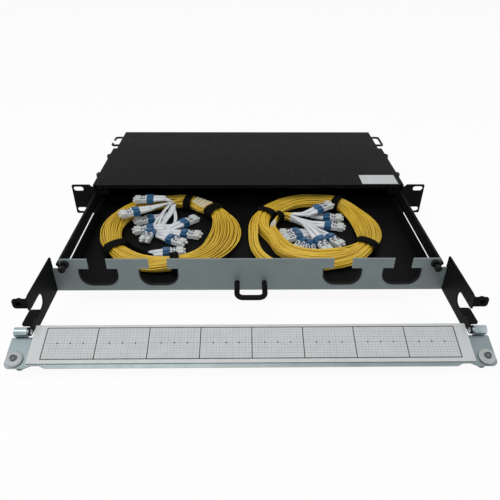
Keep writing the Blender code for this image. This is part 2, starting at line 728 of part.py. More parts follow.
for side, label in ((-1, "left"), (1, "right")):
    arm = place(
        prism("side_arm_" + label, arm_profile, side * ARM_INNER, side * arm_outer, "X"),
        finish="black_coat",
    )
    inside = ARM_INNER + 0.1 * MM
    tab = rounded(
        [
            (side * inside, TAB_HOLE_Z - 5.6 * MM, 0.0),
            (side * TAB_REACH, TAB_HOLE_Z - 5.6 * MM, 3 * MM),
            (side * TAB_REACH, TAB_HOLE_Z + 5.5 * MM, 3 * MM),
            (side * inside, TAB_HOLE_Z + 5.5 * MM, 0.0),
        ]
    )
    add(arm, prism("tab", tab, ARM_FRONT + 0.01 * MM, ARM_FRONT + SHEET, "Y"))
    cup_end = ARM_FRONT + SHEET + CATCH_CUP_DEPTH
    add(
        arm,
        rod("catch_cup", (side * DOOR_LATCH_X, TAB_HOLE_Z), CATCH_HOLE_D / 2 + 1.2 * MM,
            ARM_FRONT + 0.4 * MM, cup_end, "Y", 20),
    )
    foot = rounded(
        [
            (side * inside, PANEL_FRONT - 34.0 * MM, 0.0),
            (side * ARM_FLANGE_REACH, PANEL_FRONT - 34.0 * MM, 3 * MM),
            (side * ARM_FLANGE_REACH, HINGE_Y + 17.5 * MM, 3 * MM),
            (side * inside, HINGE_Y + 17.5 * MM, 0.0),
        ]
    )
    add(arm, prism("foot", foot, 0.4 * MM, 0.4 * MM + SHEET))
    back = rounded(
        [
            (side * (arm_outer - 0.1 * MM), 5 * MM, 0.0),
            (side * (TRAY_HALF + 0.8 * MM), 5 * MM, 1.5 * MM),
            (side * (TRAY_HALF + 0.8 * MM), 28.5 * MM, 1.5 * MM),
            (side * (arm_outer - 0.1 * MM), 28.5 * MM, 0.0),
        ]
    )
    add(arm, prism("back", back, arm_rear - SHEET, arm_rear - 0.01 * MM, "Y"))
    cut(
        arm,
        rod("tab_hole", (side * DOOR_LATCH_X, TAB_HOLE_Z), CATCH_HOLE_D / 2,
            ARM_FRONT - 3 * MM, cup_end - 0.9 * MM, "Y"),
    )
    cut(
        arm,
        rod("pin_hole", (HINGE_Y, HINGE_Z), PIN_RADIUS + GAP,
            side * (ARM_INNER - 2 * MM), side * (arm_outer + 2 * MM), "X", 20),
    )

    pin = rod("hinge_pin_" + label, (0, 0), PIN_RADIUS, side * (ARM_INNER + 0.2 * MM),
              side * (KNUCKLE_X[1] + 0.4 * MM), "X", 20)
    pin.location = (0, HINGE_Y, HINGE_Z)
    place(pin, finish="bright_steel")

    rail = place(
        box("slide_rail_" + label, side * RAIL_INNER, side * RAIL_OUTER, arm_rear + GAP,
            TRAY_REAR - 3 * MM, RAIL_BOTTOM, RAIL_TOP),
        finish="black_coat",
    )
    cut(
        rail,
        box("groove", side * (RAIL_INNER + 1.4 * MM), side * (RAIL_OUTER + 2 * MM),
            arm_rear - 2 * MM, TRAY_REAR + 3 * MM, RAIL_BOTTOM + 3 * MM, RAIL_TOP - 3 * MM),
    )

    bore = PLUNGER_BORE_D / 2
    body = LATCH_BODY_D / 2
    collar = [
        (bore, -3.0 * MM),
        (4.2 * MM, -3.0 * MM),
        (4.8 * MM, -2.2 * MM),
        (4.8 * MM, -GAP),
        (body, -GAP),
        (body, SHEET + 2.3 * MM),
        (bore, SHEET + 2.3 * MM),
    ]
    latch = turned("tray_latch_" + label, collar, 18, "Y")
    latch.location = (side * TRAY_LATCH_X, PANEL_FRONT, TRAY_LATCH_Z)
    place(latch, finish="black_nylon")
    knob = [
        (0.00001, -12.5 * MM),
        (3.0 * MM, -12.5 * MM),
        (3.9 * MM, -11.6 * MM),
        (3.9 * MM, -9.6 * MM),
        (PLUNGER_PIN_D / 2, -9.4 * MM),
        (PLUNGER_PIN_D / 2, 3.0 * MM),
        (PLUNGER_PIN_D / 4, 3.8 * MM),
        (0.00001, 3.8 * MM),
    ]
    plunger = turned("tray_plunger_" + label, knob, 18, "Y")
    plunger.location = (side * TRAY_LATCH_X, PANEL_FRONT, TRAY_LATCH_Z)
    place(plunger, finish="black_nylon")

# Door: drawn flat about its hinge line, then turned down by its droop.
# In the door -Y runs away from the hinge and +Z is its inner face.
hinge = bpy.data.objects.new("door_axis", None)
parts.objects.link(hinge)
hinge.location = (0, HINGE_Y, HINGE_Z)
hinge.rotation_euler = (DOOR_DROOP, 0, 0)

plate_under = -KNUCKLE_OUTER
plate_top = -KNUCKLE_INNER
door_corners = []
for side in (1, -1):
    ordered = [
        (DOOR_CENTRE_HALF, DOOR_REAR, 1.5 * MM),
        (DOOR_CENTRE_HALF, -WING_REAR, 0.0),
        (DOOR_HALF, -WING_REAR, 1.5 * MM),
        (DOOR_HALF, -DOOR_FRONT, 5.0 * MM),
        (NOTCH_CENTRE + 9.5 * MM, -DOOR_FRONT, 4 * MM),
        (NOTCH_CENTRE + 3.5 * MM, -DOOR_FRONT + 2.9 * MM, 4 * MM),
        (NOTCH_CENTRE - 3.5 * MM, -DOOR_FRONT + 2.9 * MM, 4 * MM),
        (NOTCH_CENTRE - 9.5 * MM, -DOOR_FRONT, 4 * MM),
    ]
    if side < 0:
        ordered = list(reversed(ordered))
    door_corners += [(side * x, y, radius) for x, y, radius in ordered]
door = place(
    prism("door_plate", rounded(door_corners), plate_under, plate_top),
    finish="zinc", parent=hinge,
)
for side in (-1, 1):
    rolled = arc((0, 0), KNUCKLE_OUTER, -90, 200, 18)
    rolled += arc((0, 0), KNUCKLE_INNER, 200, -90, 18)
    rolled += [(-WING_REAR - 1.0 * MM, plate_top), (-WING_REAR - 1.0 * MM, plate_under)]
    add(
        door,
        prism("knuckle", rolled, side * KNUCKLE_X[0], side * KNUCKLE_X[1], "X"),
        parent=hinge,
    )
    cut(
        door,
        rod("latch_hole", (side * DOOR_LATCH_X, -DOOR_LATCH_REACH), LATCH_HOLE_D / 2,
            plate_under - 3 * MM, plate_top + 3 * MM),
        parent=hinge,
    )

label_under = plate_top + 0.2 * MM
label_top = label_under + LABEL_PANEL_THICK
place(
    prism(
        "label_panel",
        rectangle(-LABEL_PANEL_HALF, LABEL_PANEL_HALF, -LABEL_PANEL_FRONT,
                  DOOR_REAR - 0.3 * MM, 0.8 * MM),
        label_under, label_top,
    ),
    finish="white_card", parent=hinge,
)
place(
    box("label_card", -CARD_HALF, CARD_HALF, -CARD_FRONT, CARD_REAR, label_top + 0.1 * MM,
        label_top + 0.4 * MM),
    finish="paper", parent=hinge,
)

for side, label in ((-1, "left"), (1, "right")):
    bore = PLUNGER_BORE_D / 2
    body = LATCH_BODY_D / 2
    disc = [
        (bore, plate_under - GAP - 2.0 * MM),
        (4.6 * MM, plate_under - GAP - 2.0 * MM),
        (4.6 * MM, plate_under - GAP),
        (body, plate_under - GAP),
        (body, plate_top + GAP),
        (7.9 * MM, plate_top + GAP),
        (7.9 * MM, plate_top + GAP + 1.6 * MM),
        (6.6 * MM, plate_top + GAP + 2.6 * MM),
        (3.2 * MM, plate_top + GAP + 2.9 * MM),
        (2.9 * MM, plate_top + GAP + 5.2 * MM),
        (bore, plate_top + GAP + 5.2 * MM),
    ]
    latch = turned("door_latch_" + label, disc, 24)
    latch.location = (side * DOOR_LATCH_X, -DOOR_LATCH_REACH, 0)
    place(latch, finish="clear_nylon", parent=hinge)
    tip = plate_top + GAP + 4.8 * MM
    head = plate_under - GAP - 2.0 * MM - 10.3 * MM
    pin = [
        (0.00001, head - 2.6 * MM),
        (3.2 * MM, head - 2.6 * MM),
        (4.2 * MM, head - 1.6 * MM),
        (4.2 * MM, head),
        (PLUNGER_PIN_D / 2, head),
        (PLUNGER_PIN_D / 2, tip - 0.8 * MM),
        (PLUNGER_PIN_D / 4, tip),
        (0.00001, tip),
    ]
    plunger = turned("door_plunger_" + label, pin, 18)
    plunger.location = (side * DOOR_LATCH_X, -DOOR_LATCH_REACH, 0)
    place(plunger, finish="clear_nylon", parent=hinge)


# Coils of fibre cord with hook and loop ties
def band(name, centre, angle, r_in, r_out, low, high):
    made = bmesh.new()
    loops = []
    for grow, corner in ((0.0, 1.2 * MM), (TIE_THICK, 2.2 * MM)):
        outline = rectangle(r_in - grow, r_out + grow, low - grow, high + grow, corner)
        for y in (-TIE_WIDTH / 2, TIE_WIDTH / 2):
            loops.append([made.verts.new((a, y, b)) for a, b in outline])
    count = len(loops[0])
    for first, second in ((0, 1), (1, 3), (3, 2), (2, 0)):
        for index in range(count):
            after = (index + 1) % count
            made.faces.new(
                (
                    loops[first][index],
                    loops[first][after],
                    loops[second][after],
                    loops[second][index],
                )
            )
    tie = mesh_object(name, made)
    tie.location = (centre[0], centre[1], 0)
    tie.rotation_euler = (0, 0, math.radians(angle))
    return tie


# Duplex plug: twin housings with two tapered boots, nose along +X
def plug(name):
    outline = rounded(
        [
            (-11 * MM, -PLUG_HALF, 0.0),
            (PLUG_NOSE, -PLUG_HALF, 1 * MM),
            (PLUG_NOSE, PLUG_HALF, 1 * MM),
            (-11 * MM, PLUG_HALF, 0.0),
            (-PLUG_TAIL, 4.6 * MM, 0.0),
            (-PLUG_TAIL, 1.8 * MM, 0.0),
            (-12 * MM, 0.8 * MM, 0.0),
            (-12 * MM, -0.8 * MM, 0.0),
            (-PLUG_TAIL, -1.8 * MM, 0.0),
            (-PLUG_TAIL, -4.6 * MM, 0.0),
        ],
        2,
    )
    return prism(name, outline, 0.0, PLUG_HEIGHT)


for label, coil, angles, spots in (
    ("left", COIL_LEFT, TIE_ANGLES_LEFT, PLUGS_LEFT),
    ("right", COIL_RIGHT, TIE_ANGLES_RIGHT, PLUGS_RIGHT),
):
    x, y, r_in, r_out = coil
    low = COIL_BOTTOM
    high = COIL_BOTTOM + COIL_HEIGHT
    ring = turned("fibre_coil_" + label, rectangle(r_in, r_out, low, high, 4 * MM), 44)
    ring.location = (x, y, 0)
    place(ring, finish="yellow_jacket")
    for number, angle in enumerate(angles, 1):
        tie = band("cord_tie_%s_%d" % (label, number), (x, y), angle,
                   r_in - 0.65 * MM, r_out + GAP, low - GAP, high + GAP)
        place(tie, finish="fabric")
    for number, (dx, dy, heading, height) in enumerate(spots, 1):
        turn = math.radians(heading)
        piece = plug("plug_%s_%d" % (label, number))
        piece.location = (
            x + dx - PLUG_NOSE * math.cos(turn), y + dy - PLUG_NOSE * math.sin(turn), height
        )
        piece.rotation_euler = (0, 0, turn)
        place(piece, finish="white_plastic")
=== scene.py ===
import bpy
import bmesh
import math
from mathutils import Matrix, Vector, noise


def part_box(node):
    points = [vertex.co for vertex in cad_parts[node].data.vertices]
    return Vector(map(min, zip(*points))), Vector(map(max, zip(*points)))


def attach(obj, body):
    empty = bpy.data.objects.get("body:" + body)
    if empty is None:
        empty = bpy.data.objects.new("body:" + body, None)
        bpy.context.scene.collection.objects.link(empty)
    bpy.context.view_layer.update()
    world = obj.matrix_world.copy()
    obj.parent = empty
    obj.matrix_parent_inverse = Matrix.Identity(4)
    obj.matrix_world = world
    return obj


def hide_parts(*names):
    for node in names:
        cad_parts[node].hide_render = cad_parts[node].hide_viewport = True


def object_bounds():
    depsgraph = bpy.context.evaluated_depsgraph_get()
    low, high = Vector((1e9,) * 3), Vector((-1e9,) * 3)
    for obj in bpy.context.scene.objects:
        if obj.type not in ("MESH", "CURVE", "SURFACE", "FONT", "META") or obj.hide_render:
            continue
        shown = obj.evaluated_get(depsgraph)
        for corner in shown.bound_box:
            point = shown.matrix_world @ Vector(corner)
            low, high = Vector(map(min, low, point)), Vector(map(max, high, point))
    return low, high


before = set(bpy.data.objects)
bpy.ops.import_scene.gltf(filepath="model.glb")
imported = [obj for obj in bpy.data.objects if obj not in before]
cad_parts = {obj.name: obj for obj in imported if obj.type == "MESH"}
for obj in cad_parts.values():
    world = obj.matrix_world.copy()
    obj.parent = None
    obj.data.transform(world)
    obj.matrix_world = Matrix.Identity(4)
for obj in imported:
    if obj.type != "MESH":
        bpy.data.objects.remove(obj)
cad_low, cad_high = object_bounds()
scene = bpy.context.scene
MM = 0.001


# Camera
# It stands in front of the open drawer and a little above it, and looks down at about 34 degrees.
PITCH = math.radians(33.852)
YAW = math.radians(0.991)
ROLL = math.radians(-0.395)
STAND = (-0.008439, -0.603365, 0.341286)
FOCAL_LENGTH, SENSOR = 35.192, 36.0
ahead = Vector(
    (math.sin(YAW) * math.cos(PITCH), math.cos(YAW) * math.cos(PITCH), -math.sin(PITCH))
)
level = Vector((math.cos(YAW), -math.sin(YAW), 0.0))
drop = ahead.cross(level)
right = level * math.cos(ROLL) + drop * math.sin(ROLL)
down = drop * math.cos(ROLL) - level * math.sin(ROLL)
lens = bpy.data.cameras.new("camera")
lens.sensor_width = SENSOR
lens.lens = FOCAL_LENGTH
lens.clip_start = 0.01
camera = bpy.data.objects.new("camera", lens)
scene.collection.objects.link(camera)
turn = Matrix((right, -down, -ahead)).transposed().to_4x4()
camera.matrix_world = Matrix.Translation(STAND) @ turn
scene.camera = camera
scene.view_settings.view_transform = "Standard"


# Studio
# A white sweep of paper under the rack drawer, one large soft lamp above and a paler one on each side.
FLOOR_REACH = 4.0
FLOOR_DROP = 0.4 * MM
FLOOR_GLOW = 0.94
SKY_LIGHT = 0.3
LAMP_TARGET = Vector((0.0, -0.08, 0.0))


def seen_directly(tree):
    """1 for what the camera sees, also by a mirror image or through something clear."""
    path = tree.nodes.new("ShaderNodeLightPath")
    found = path.outputs["Is Camera Ray"]
    for kind in ("Is Glossy Ray", "Is Transmission Ray"):
        either = tree.nodes.new("ShaderNodeMath")
        either.operation = "MAXIMUM"
        tree.links.new(found, either.inputs[0])
        tree.links.new(path.outputs[kind], either.inputs[1])
        found = either.outputs["Value"]
    return found


floor_mesh = bpy.data.meshes.new("studio_floor")
corners = ((-1, -1), (1, -1), (1, 1), (-1, 1))
floor_mesh.from_pydata(
    [(x * FLOOR_REACH, y * FLOOR_REACH, cad_low.z - FLOOR_DROP) for x, y in corners],
    [],
    [(0, 1, 2, 3)],
)
floor = bpy.data.objects.new("studio_floor", floor_mesh)
scene.collection.objects.link(floor)
paper_sweep = bpy.data.materials.new("studio paper")
paper_sweep.use_nodes = True
tree = paper_sweep.node_tree
shader = tree.nodes["Principled BSDF"]
shader.inputs["Base Color"].default_value = (0.93, 0.93, 0.93, 1.0)
shader.inputs["Roughness"].default_value = 0.9
shader.inputs["Specular IOR Level"].default_value = 0.1
glow = tree.nodes.new("ShaderNodeEmission")
glow.inputs["Strength"].default_value = 1.0
share = tree.nodes.new("ShaderNodeMath")
share.operation = "MULTIPLY"
share.inputs[1].default_value = FLOOR_GLOW
tree.links.new(seen_directly(tree), share.inputs[0])
blend = tree.nodes.new("ShaderNodeMixShader")
tree.links.new(share.outputs["Value"], blend.inputs["Fac"])
tree.links.new(shader.outputs["BSDF"], blend.inputs[1])
tree.links.new(glow.outputs["Emission"], blend.inputs[2])
tree.links.new(blend.outputs["Shader"], tree.nodes["Material Output"].inputs["Surface"])
floor_mesh.materials.append(paper_sweep)

world = bpy.data.worlds.new("studio")
scene.world = world
world.use_nodes = True
tree = world.node_tree
sky = tree.nodes["Background"]
sky.inputs["Color"].default_value = (1.0, 1.0, 1.0, 1.0)
strength = tree.nodes.new("ShaderNodeMapRange")
strength.inputs["To Min"].default_value = SKY_LIGHT
strength.inputs["To Max"].default_value = 1.0
tree.links.new(seen_directly(tree), strength.inputs["Value"])
tree.links.new(strength.outputs["Result"], sky.inputs["Strength"])

for name, spot, size, watts in (
    ("lamp_above", (-0.35, -0.55, 1.5), 1.3, 12.5),
    ("lamp_left", (-1.5, -0.7, 0.8), 1.0, 5.0),
    ("lamp_right", (1.5, -0.5, 0.9), 1.0, 5.4),
):
    light = bpy.data.lights.new(name, "AREA")
    light.shape = "SQUARE"
    light.size = size
    light.energy = watts
    lamp = bpy.data.objects.new(name, light)
    scene.collection.objects.link(lamp)
    aim = LAMP_TARGET - Vector(spot)
    lamp.matrix_world = Matrix.Translation(spot) @ aim.to_track_quat("-Z", "Y").to_matrix().to_4x4()


# Chassis
# Floor, sides and back of one folded steel sheet, powder coated black with a fine orange-peel skin.
# Its edges are deburred before coating, so that each has a small round.
def speckle(tree, scale, detail):
    where = tree.nodes.new("ShaderNodeTexCoord")
    made = tree.nodes.new("ShaderNodeTexNoise")
    made.inputs["Scale"].default_value = scale
    made.inputs["Detail"].default_value = detail
    tree.links.new(where.outputs["Object"], made.inputs["Vector"])
    return made.outputs["Fac"]


def tinted(tree, amount, first, second):
    ramp = tree.nodes.new("ShaderNodeValToRGB")
    for stop, position, colour in zip(ramp.color_ramp.elements, (0.36, 0.64), (first, second)):
        stop.position = position
        stop.color = (*colour, 1.0)
    tree.links.new(amount, ramp.inputs["Fac"])
    return ramp.outputs["Color"]


def ranged(tree, amount, low, high):
    spread = tree.nodes.new("ShaderNodeMapRange")
    for socket, value in (("From Min", 0.35), ("From Max", 0.65), ("To Min", low), ("To Max", high)):
        spread.inputs[socket].default_value = value
    tree.links.new(amount, spread.inputs["Value"])
    return spread.outputs["Result"]


def grained(name, dark, light, rough, scale, depth, metallic=0.0, **more):
    """Finish with a broad drift of colour, a finer one of roughness and a fine relief."""
    made = bpy.data.materials.new(name)
    made.use_nodes = True
    tree = made.node_tree
    surface = tree.nodes["Principled BSDF"]
    surface.inputs["Metallic"].default_value = metallic
    for socket, value in more.items():
        surface.inputs[socket.replace("_", " ")].default_value = value
    broad = speckle(tree, scale * 0.06, 4.0)
    tree.links.new(tinted(tree, broad, dark, light), surface.inputs["Base Color"])
    middle = speckle(tree, scale * 0.25, 3.0)
    tree.links.new(ranged(tree, middle, *rough), surface.inputs["Roughness"])
    bump = tree.nodes.new("ShaderNodeBump")
    bump.inputs["Distance"].default_value = depth
    bump.inputs["Strength"].default_value = 1.0
    tree.links.new(speckle(tree, scale, 2.0), bump.inputs["Height"])
    tree.links.new(bump.outputs["Normal"], surface.inputs["Normal"])
    return made


black_coat = grained(
    "black powder coat", (0.0055, 0.0055, 0.0057), (0.0068, 0.0068, 0.007), (0.42, 0.52),
    950.0, 0.00002, Specular_IOR_Level=0.026,
)
# Lighter black on the rounded edges: partly rubbed coat, partly a painted highlight.
black_edge_wear_and_painted_highlight = grained(
    "black coat on a folded edge", (0.008, 0.008, 0.0085), (0.016, 0.016, 0.0165), (0.34, 0.5),
    950.0, 0.00002, Specular_IOR_Level=0.1,
)


def as_mesh(made, name):
    graph = bpy.context.evaluated_depsgraph_get()
    data = bpy.data.meshes.new_from_object(made.evaluated_get(graph))
    data.name = name
    bpy.data.objects.remove(made, do_unlink=True)
    piece = bpy.data.objects.new(name, data)
    scene.collection.objects.link(piece)
    return piece


SAME_SPOT = 0.002 * MM
FLAT = math.radians(0.8)
CORNER = math.radians(32.0)


def deburred(node, body, finish, edge_finish, width=0.3, steps=2):
    """Finished copy of a solid whose corners are rounded by a width in millimetres."""
    shape = bmesh.new()
    shape.from_mesh(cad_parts[node].data)
    bmesh.ops.remove_doubles(shape, verts=shape.verts, dist=SAME_SPOT)
    bmesh.ops.dissolve_limit(shape, angle_limit=FLAT, verts=shape.verts, edges=shape.edges)
    data = bpy.data.meshes.new(node + "_blank")
    shape.to_mesh(data)
    shape.free()
    data.materials.clear()
    data.materials.append(finish)
    data.materials.append(edge_finish)
    for face in data.polygons:
        face.material_index = 0
        face.use_smooth = True
    blank = bpy.data.objects.new(node + "_blank", data)
    scene.collection.objects.link(blank)
    rounding = blank.modifiers.new("rounding", "BEVEL")
    rounding.width = width * MM
    rounding.segments = steps
    rounding.limit_method = "ANGLE"
    rounding.angle_limit = CORNER
    # The rounds take the second finish; for the black coat, the grey paint and the zinc this is a lighter
    # copy of it, a painted edge highlight.
    rounding.material = 1
    even = blank.modifiers.new("even shading", "WEIGHTED_NORMAL")
    even.mode = "FACE_AREA"
    even.weight = 90
    even.thresh = 0.02
    piece = as_mesh(blank, node + "_finished")
    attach(piece, body)
    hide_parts(node)
    return piece


deburred("chassis_shell", "chassis", black_coat, black_edge_wear_and_painted_highlight)


# Rear cable entries
# Black rubber grommets pressed into the two holes of the back wall.
rubber = grained(
    "black rubber", (0.006, 0.006, 0.006), (0.012, 0.012, 0.012), (0.7, 0.85), 1400.0, 0.00003,
    Specular_IOR_Level=0.15,
)
for side in ("left", "right"):
    deburred("rear_grommet_" + side, "chassis", rubber, rubber, 0.4, 3)


# Top cover
# A flat lid of black coated steel with a turned-down lip at the front, held by two screws at the back.
deburred("top_cover", "chassis", black_coat, black_edge_wear_and_painted_highlight, 0.45, 3)


# Cover sticker
# A bare white paper label stuck on the lid, right of the middle.
label_paper = grained(
    "white label paper", (0.56, 0.58, 0.585), (0.6, 0.62, 0.625), (0.5, 0.65), 1600.0, 0.00001,
)
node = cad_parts["cover_sticker"]
node.data.materials.clear()
node.data.materials.append(label_paper)


# Rack ears
# Folded brackets of black coated steel with two open slots each for the rack's own screws.
for side in ("left", "right"):
    deburred("rack_ear_" + side, "chassis", black_coat, black_edge_wear_and_painted_highlight, 0.25)


# Screws
# Black steel thumb screws, ribbed and slotted, hold the ears to the chassis sides. Two smaller ones hold
# the lid at the back and two more hold the pull handle from behind. Each group is grown on its seats.
screw_steel = grained(
    "black screw steel", (0.008, 0.008, 0.009), (0.02, 0.02, 0.021), (0.3, 0.45), 2200.0, 0.00001,
    Specular_IOR_Level=0.3,
)


def node_tree(name, inputs):
    tree = bpy.data.node_groups.new(name, "GeometryNodeTree")
    for label, kind, value in inputs:
        socket = tree.interface.new_socket(label, in_out="INPUT", socket_type="NodeSocket" + kind)
        if value is not None:
            socket.default_value = value
    tree.interface.new_socket("Result", in_out="OUTPUT", socket_type="NodeSocketGeometry")
    given = tree.nodes.new("NodeGroupInput").outputs
    return tree, given


def add_node(tree, kind, links=(), **settings):
    made = tree.nodes.new(kind)
    for setting, value in settings.items():
        setattr(made, setting, value)
    for socket, source in links:
        if hasattr(source, "is_output"):
            tree.links.new(source, made.inputs[socket])
        else:
            made.inputs[socket].default_value = source
    return made.outputs


def close_tree(tree, shape, finish):
    real = add_node(tree, "GeometryNodeRealizeInstances", [("Geometry", shape)])
    painted = add_node(
        tree, "GeometryNodeSetMaterial", [("Geometry", real["Geometry"]), ("Material", finish)]
    )
    result = tree.nodes.new("NodeGroupOutput")
    tree.links.new(painted["Geometry"], result.inputs["Result"])


def grown(name, tree, base, **values):
    """Plain mesh of what a tree makes of a base mesh or curve, with the tree's inputs set by name."""
    start = bpy.data.objects.new(name + "_base", base)
    scene.collection.objects.link(start)
    growth = start.modifiers.new("growth", "NODES")
    growth.node_group = tree
    for socket in tree.interface.items_tree:
        if socket.in_out == "INPUT" and socket.name in values:
            growth[socket.identifier] = values[socket.name]
    return as_mesh(start, name)


screw_tree, given = node_tree(
    "screws on their seats",
    [
        ("Seats", "Geometry", None), ("Head radius", "Float", 0.003), ("Head height", "Float", 0.002),
        ("Shank radius", "Float", 0.0015), ("Shank length", "Float", 0.005), ("Ribs", "Int", 18),
        ("Rib radius", "Float", 0.0003), ("Facing", "Rotation", None), ("Finish", "Material", None),
    ],
)


def times(tree, first, second):
    return add_node(tree, "ShaderNodeMath", [(0, first), (1, second)], operation="MULTIPLY")["Value"]


def raised(tree, shape, height):
    shift = add_node(tree, "ShaderNodeCombineXYZ", [("Z", height)])["Vector"]
    return add_node(
        tree, "GeometryNodeTransform", [("Geometry", shape), ("Translation", shift)]
    )["Geometry"]


DRUM_SHARE = 0.62
GROOVE_WIDTH = 0.8 * MM
drum_height = times(screw_tree, given["Head height"], DRUM_SHARE)
drum = add_node(
    screw_tree, "GeometryNodeMeshCylinder",
    [("Vertices", 28), ("Radius", given["Head radius"]), ("Depth", drum_height)],
)["Mesh"]
crown_height = times(screw_tree, given["Head height"], 1 - DRUM_SHARE)
crown = add_node(
    screw_tree, "GeometryNodeMeshCone",
    [
        ("Vertices", 28), ("Radius Bottom", given["Head radius"]), ("Depth", crown_height),
        ("Radius Top", times(screw_tree, given["Head radius"], 0.72)),
    ],
)["Mesh"]
shank = add_node(
    screw_tree, "GeometryNodeMeshCylinder",
    [("Vertices", 16), ("Radius", given["Shank radius"]), ("Depth", given["Shank length"])],
)["Mesh"]
groove_size = add_node(
    screw_tree, "ShaderNodeCombineXYZ",
    [
        ("X", times(screw_tree, given["Head radius"], 1.9)), ("Y", GROOVE_WIDTH),
        ("Z", times(screw_tree, given["Head height"], 0.5)),
    ],
)["Vector"]
groove = add_node(screw_tree, "GeometryNodeMeshCube", [("Size", groove_size)])["Mesh"]
rim = add_node(
    screw_tree, "GeometryNodeMeshCircle", [("Vertices", given["Ribs"]), ("Radius", given["Head radius"])]
)["Mesh"]
rib = add_node(
    screw_tree, "GeometryNodeMeshCylinder",
    [("Vertices", 6), ("Radius", given["Rib radius"]), ("Depth", times(screw_tree, drum_height, 0.9))],
)["Mesh"]
ribs = add_node(
    screw_tree, "GeometryNodeInstanceOnPoints", [("Points", rim), ("Instance", rib)]
)["Instances"]
head = screw_tree.nodes.new("GeometryNodeJoinGeometry")
screw_tree.links.new(raised(screw_tree, drum, times(screw_tree, drum_height, 0.5)), head.inputs[0])
screw_tree.links.new(raised(screw_tree, crown, drum_height), head.inputs[0])
cut_head = add_node(
    screw_tree, "GeometryNodeMeshBoolean",
    [
        ("Mesh 1", head.outputs[0]),
        ("Mesh 2", raised(screw_tree, groove, given["Head height"])),
    ],
    operation="DIFFERENCE",
)["Mesh"]
whole = screw_tree.nodes.new("GeometryNodeJoinGeometry")
screw_tree.links.new(cut_head, whole.inputs[0])
screw_tree.links.new(
    raised(screw_tree, shank, times(screw_tree, given["Shank length"], -0.5)), whole.inputs[0]
)
screw_tree.links.new(raised(screw_tree, ribs, times(screw_tree, drum_height, 0.5)), whole.inputs[0])
standing = add_node(
    screw_tree, "GeometryNodeInstanceOnPoints",
    [("Points", given["Seats"]), ("Instance", whole.outputs[0]), ("Rotation", given["Facing"])],
)["Instances"]
close_tree(screw_tree, standing, given["Finish"])


def seat_of(name, axis, way, head_height):
    """Middle of the face that a screw's head sits on, from the box of its solid."""
    low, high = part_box(name)
    seat = (low + high) / 2
    seat[axis] = (high if way > 0 else low)[axis] - way * head_height
    return seat


def fit_screws(name, body, nodes, axis, way, facing, head_radius, head_height, shank, length):
    """Screws of one size in place of their solids, with sizes in millimetres."""
    seats = bpy.data.meshes.new(name + "_seats")
    seats.from_pydata([seat_of(node, axis, way, head_height * MM) for node in nodes], [], [])
    values = {
        "Head radius": head_radius * MM, "Head height": head_height * MM, "Shank radius": shank * MM,
        "Shank length": length * MM, "Facing": facing, "Finish": screw_steel,
    }
    piece = grown(name, screw_tree, seats, **values)
    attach(piece, body)
    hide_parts(*nodes)


quarter = math.radians(90)
for side, way in (("left", -1), ("right", 1)):
    fit_screws(
        "ear_thumb_screws_" + side, "chassis", ["ear_screw_%s_%d" % (side, n) for n in (1, 2)],
        0, way, (0.0, way * quarter, 0.0), 4.1, 5.2, 1.9, 9.0,
    )
fit_screws(
    "lid_screws", "chassis", ["cover_screw_left", "cover_screw_right"],
    1, 1, (-quarter, 0.0, 0.0), 2.8, 2.0, 1.45, 4.9,
)
fit_screws(
    "pull_handle_screws", "tray", ["handle_screw_left", "handle_screw_right"],
    1, 1, (-quarter, 0.0, 0.0), 2.8, 2.0, 1.45, 7.9,
)


# Cable rings
# Black nylon rings clipped to the chassis sides. The left one is open so that a cord can be pushed in.
black_nylon = grained(
    "black moulded nylon", (0.005, 0.005, 0.0055), (0.009, 0.009, 0.0095), (0.38, 0.5), 700.0, 0.00003,
    Specular_IOR_Level=0.12,
)
for side in ("left", "right"):
    deburred("cable_ring_" + side, "chassis", black_nylon, black_nylon, 0.8, 3)


# Tray
# A folded black pan that slides in the chassis on a rail at each side and carries the coils.
deburred("tray_pan", "tray", black_coat, black_edge_wear_and_painted_highlight)
for side in ("left", "right"):
    deburred("slide_rail_" + side, "tray", black_coat, black_edge_wear_and_painted_highlight)


# Front panel
# Steel with a satin grey paint and four slots with rubber edging that cords drop into.
grey_paint = grained(
    "satin grey paint", (0.185, 0.23, 0.235), (0.2, 0.245, 0.25), (0.36, 0.46), 900.0, 0.00002,
)
# Lighter copy of the grey paint for the rounded edges: a painted highlight.
grey_edge_painted_highlight = grained(
    "satin grey paint with a painted edge highlight", (0.3, 0.34, 0.345), (0.36, 0.4, 0.405), (0.3, 0.4), 900.0, 0.00002,
)
deburred("front_panel", "tray", grey_paint, grey_edge_painted_highlight, 0.25)
for number in range(1, 5):
    deburred("slot_edging_%d" % number, "tray", rubber, rubber, 0.3, 3)


# Pull handle
# A round bar bent to a U, coated black and screwed to the panel from behind.
deburred("pull_handle", "tray", black_coat, black_edge_wear_and_painted_highlight, 0.25)


# Tray latches
# Nylon push latches at the upper corners of the panel, each a collar round a knob with a catch pin.
for side in ("left", "right"):
    deburred("tray_latch_" + side, "tray", black_nylon, black_nylon, 0.3)
    deburred("tray_plunger_" + side, "tray_catch_pin_" + side, black_nylon, black_nylon, 0.3)


# Side arms
# Black coated plates that carry the door, each with a gap where cords leave and a tab for the door
# latch. A bright steel pin stands out of each for the door to turn on.
bright_steel = grained(
    "bright plated steel", (0.62, 0.64, 0.66), (0.8, 0.81, 0.82), (0.12, 0.24), 500.0, 0.00002, 1.0,
)
for side in ("left", "right"):
    deburred("side_arm_" + side, "tray", black_coat, black_edge_wear_and_painted_highlight, 0.25)
    deburred("hinge_pin_" + side, "tray", bright_steel, bright_steel, 0.2)


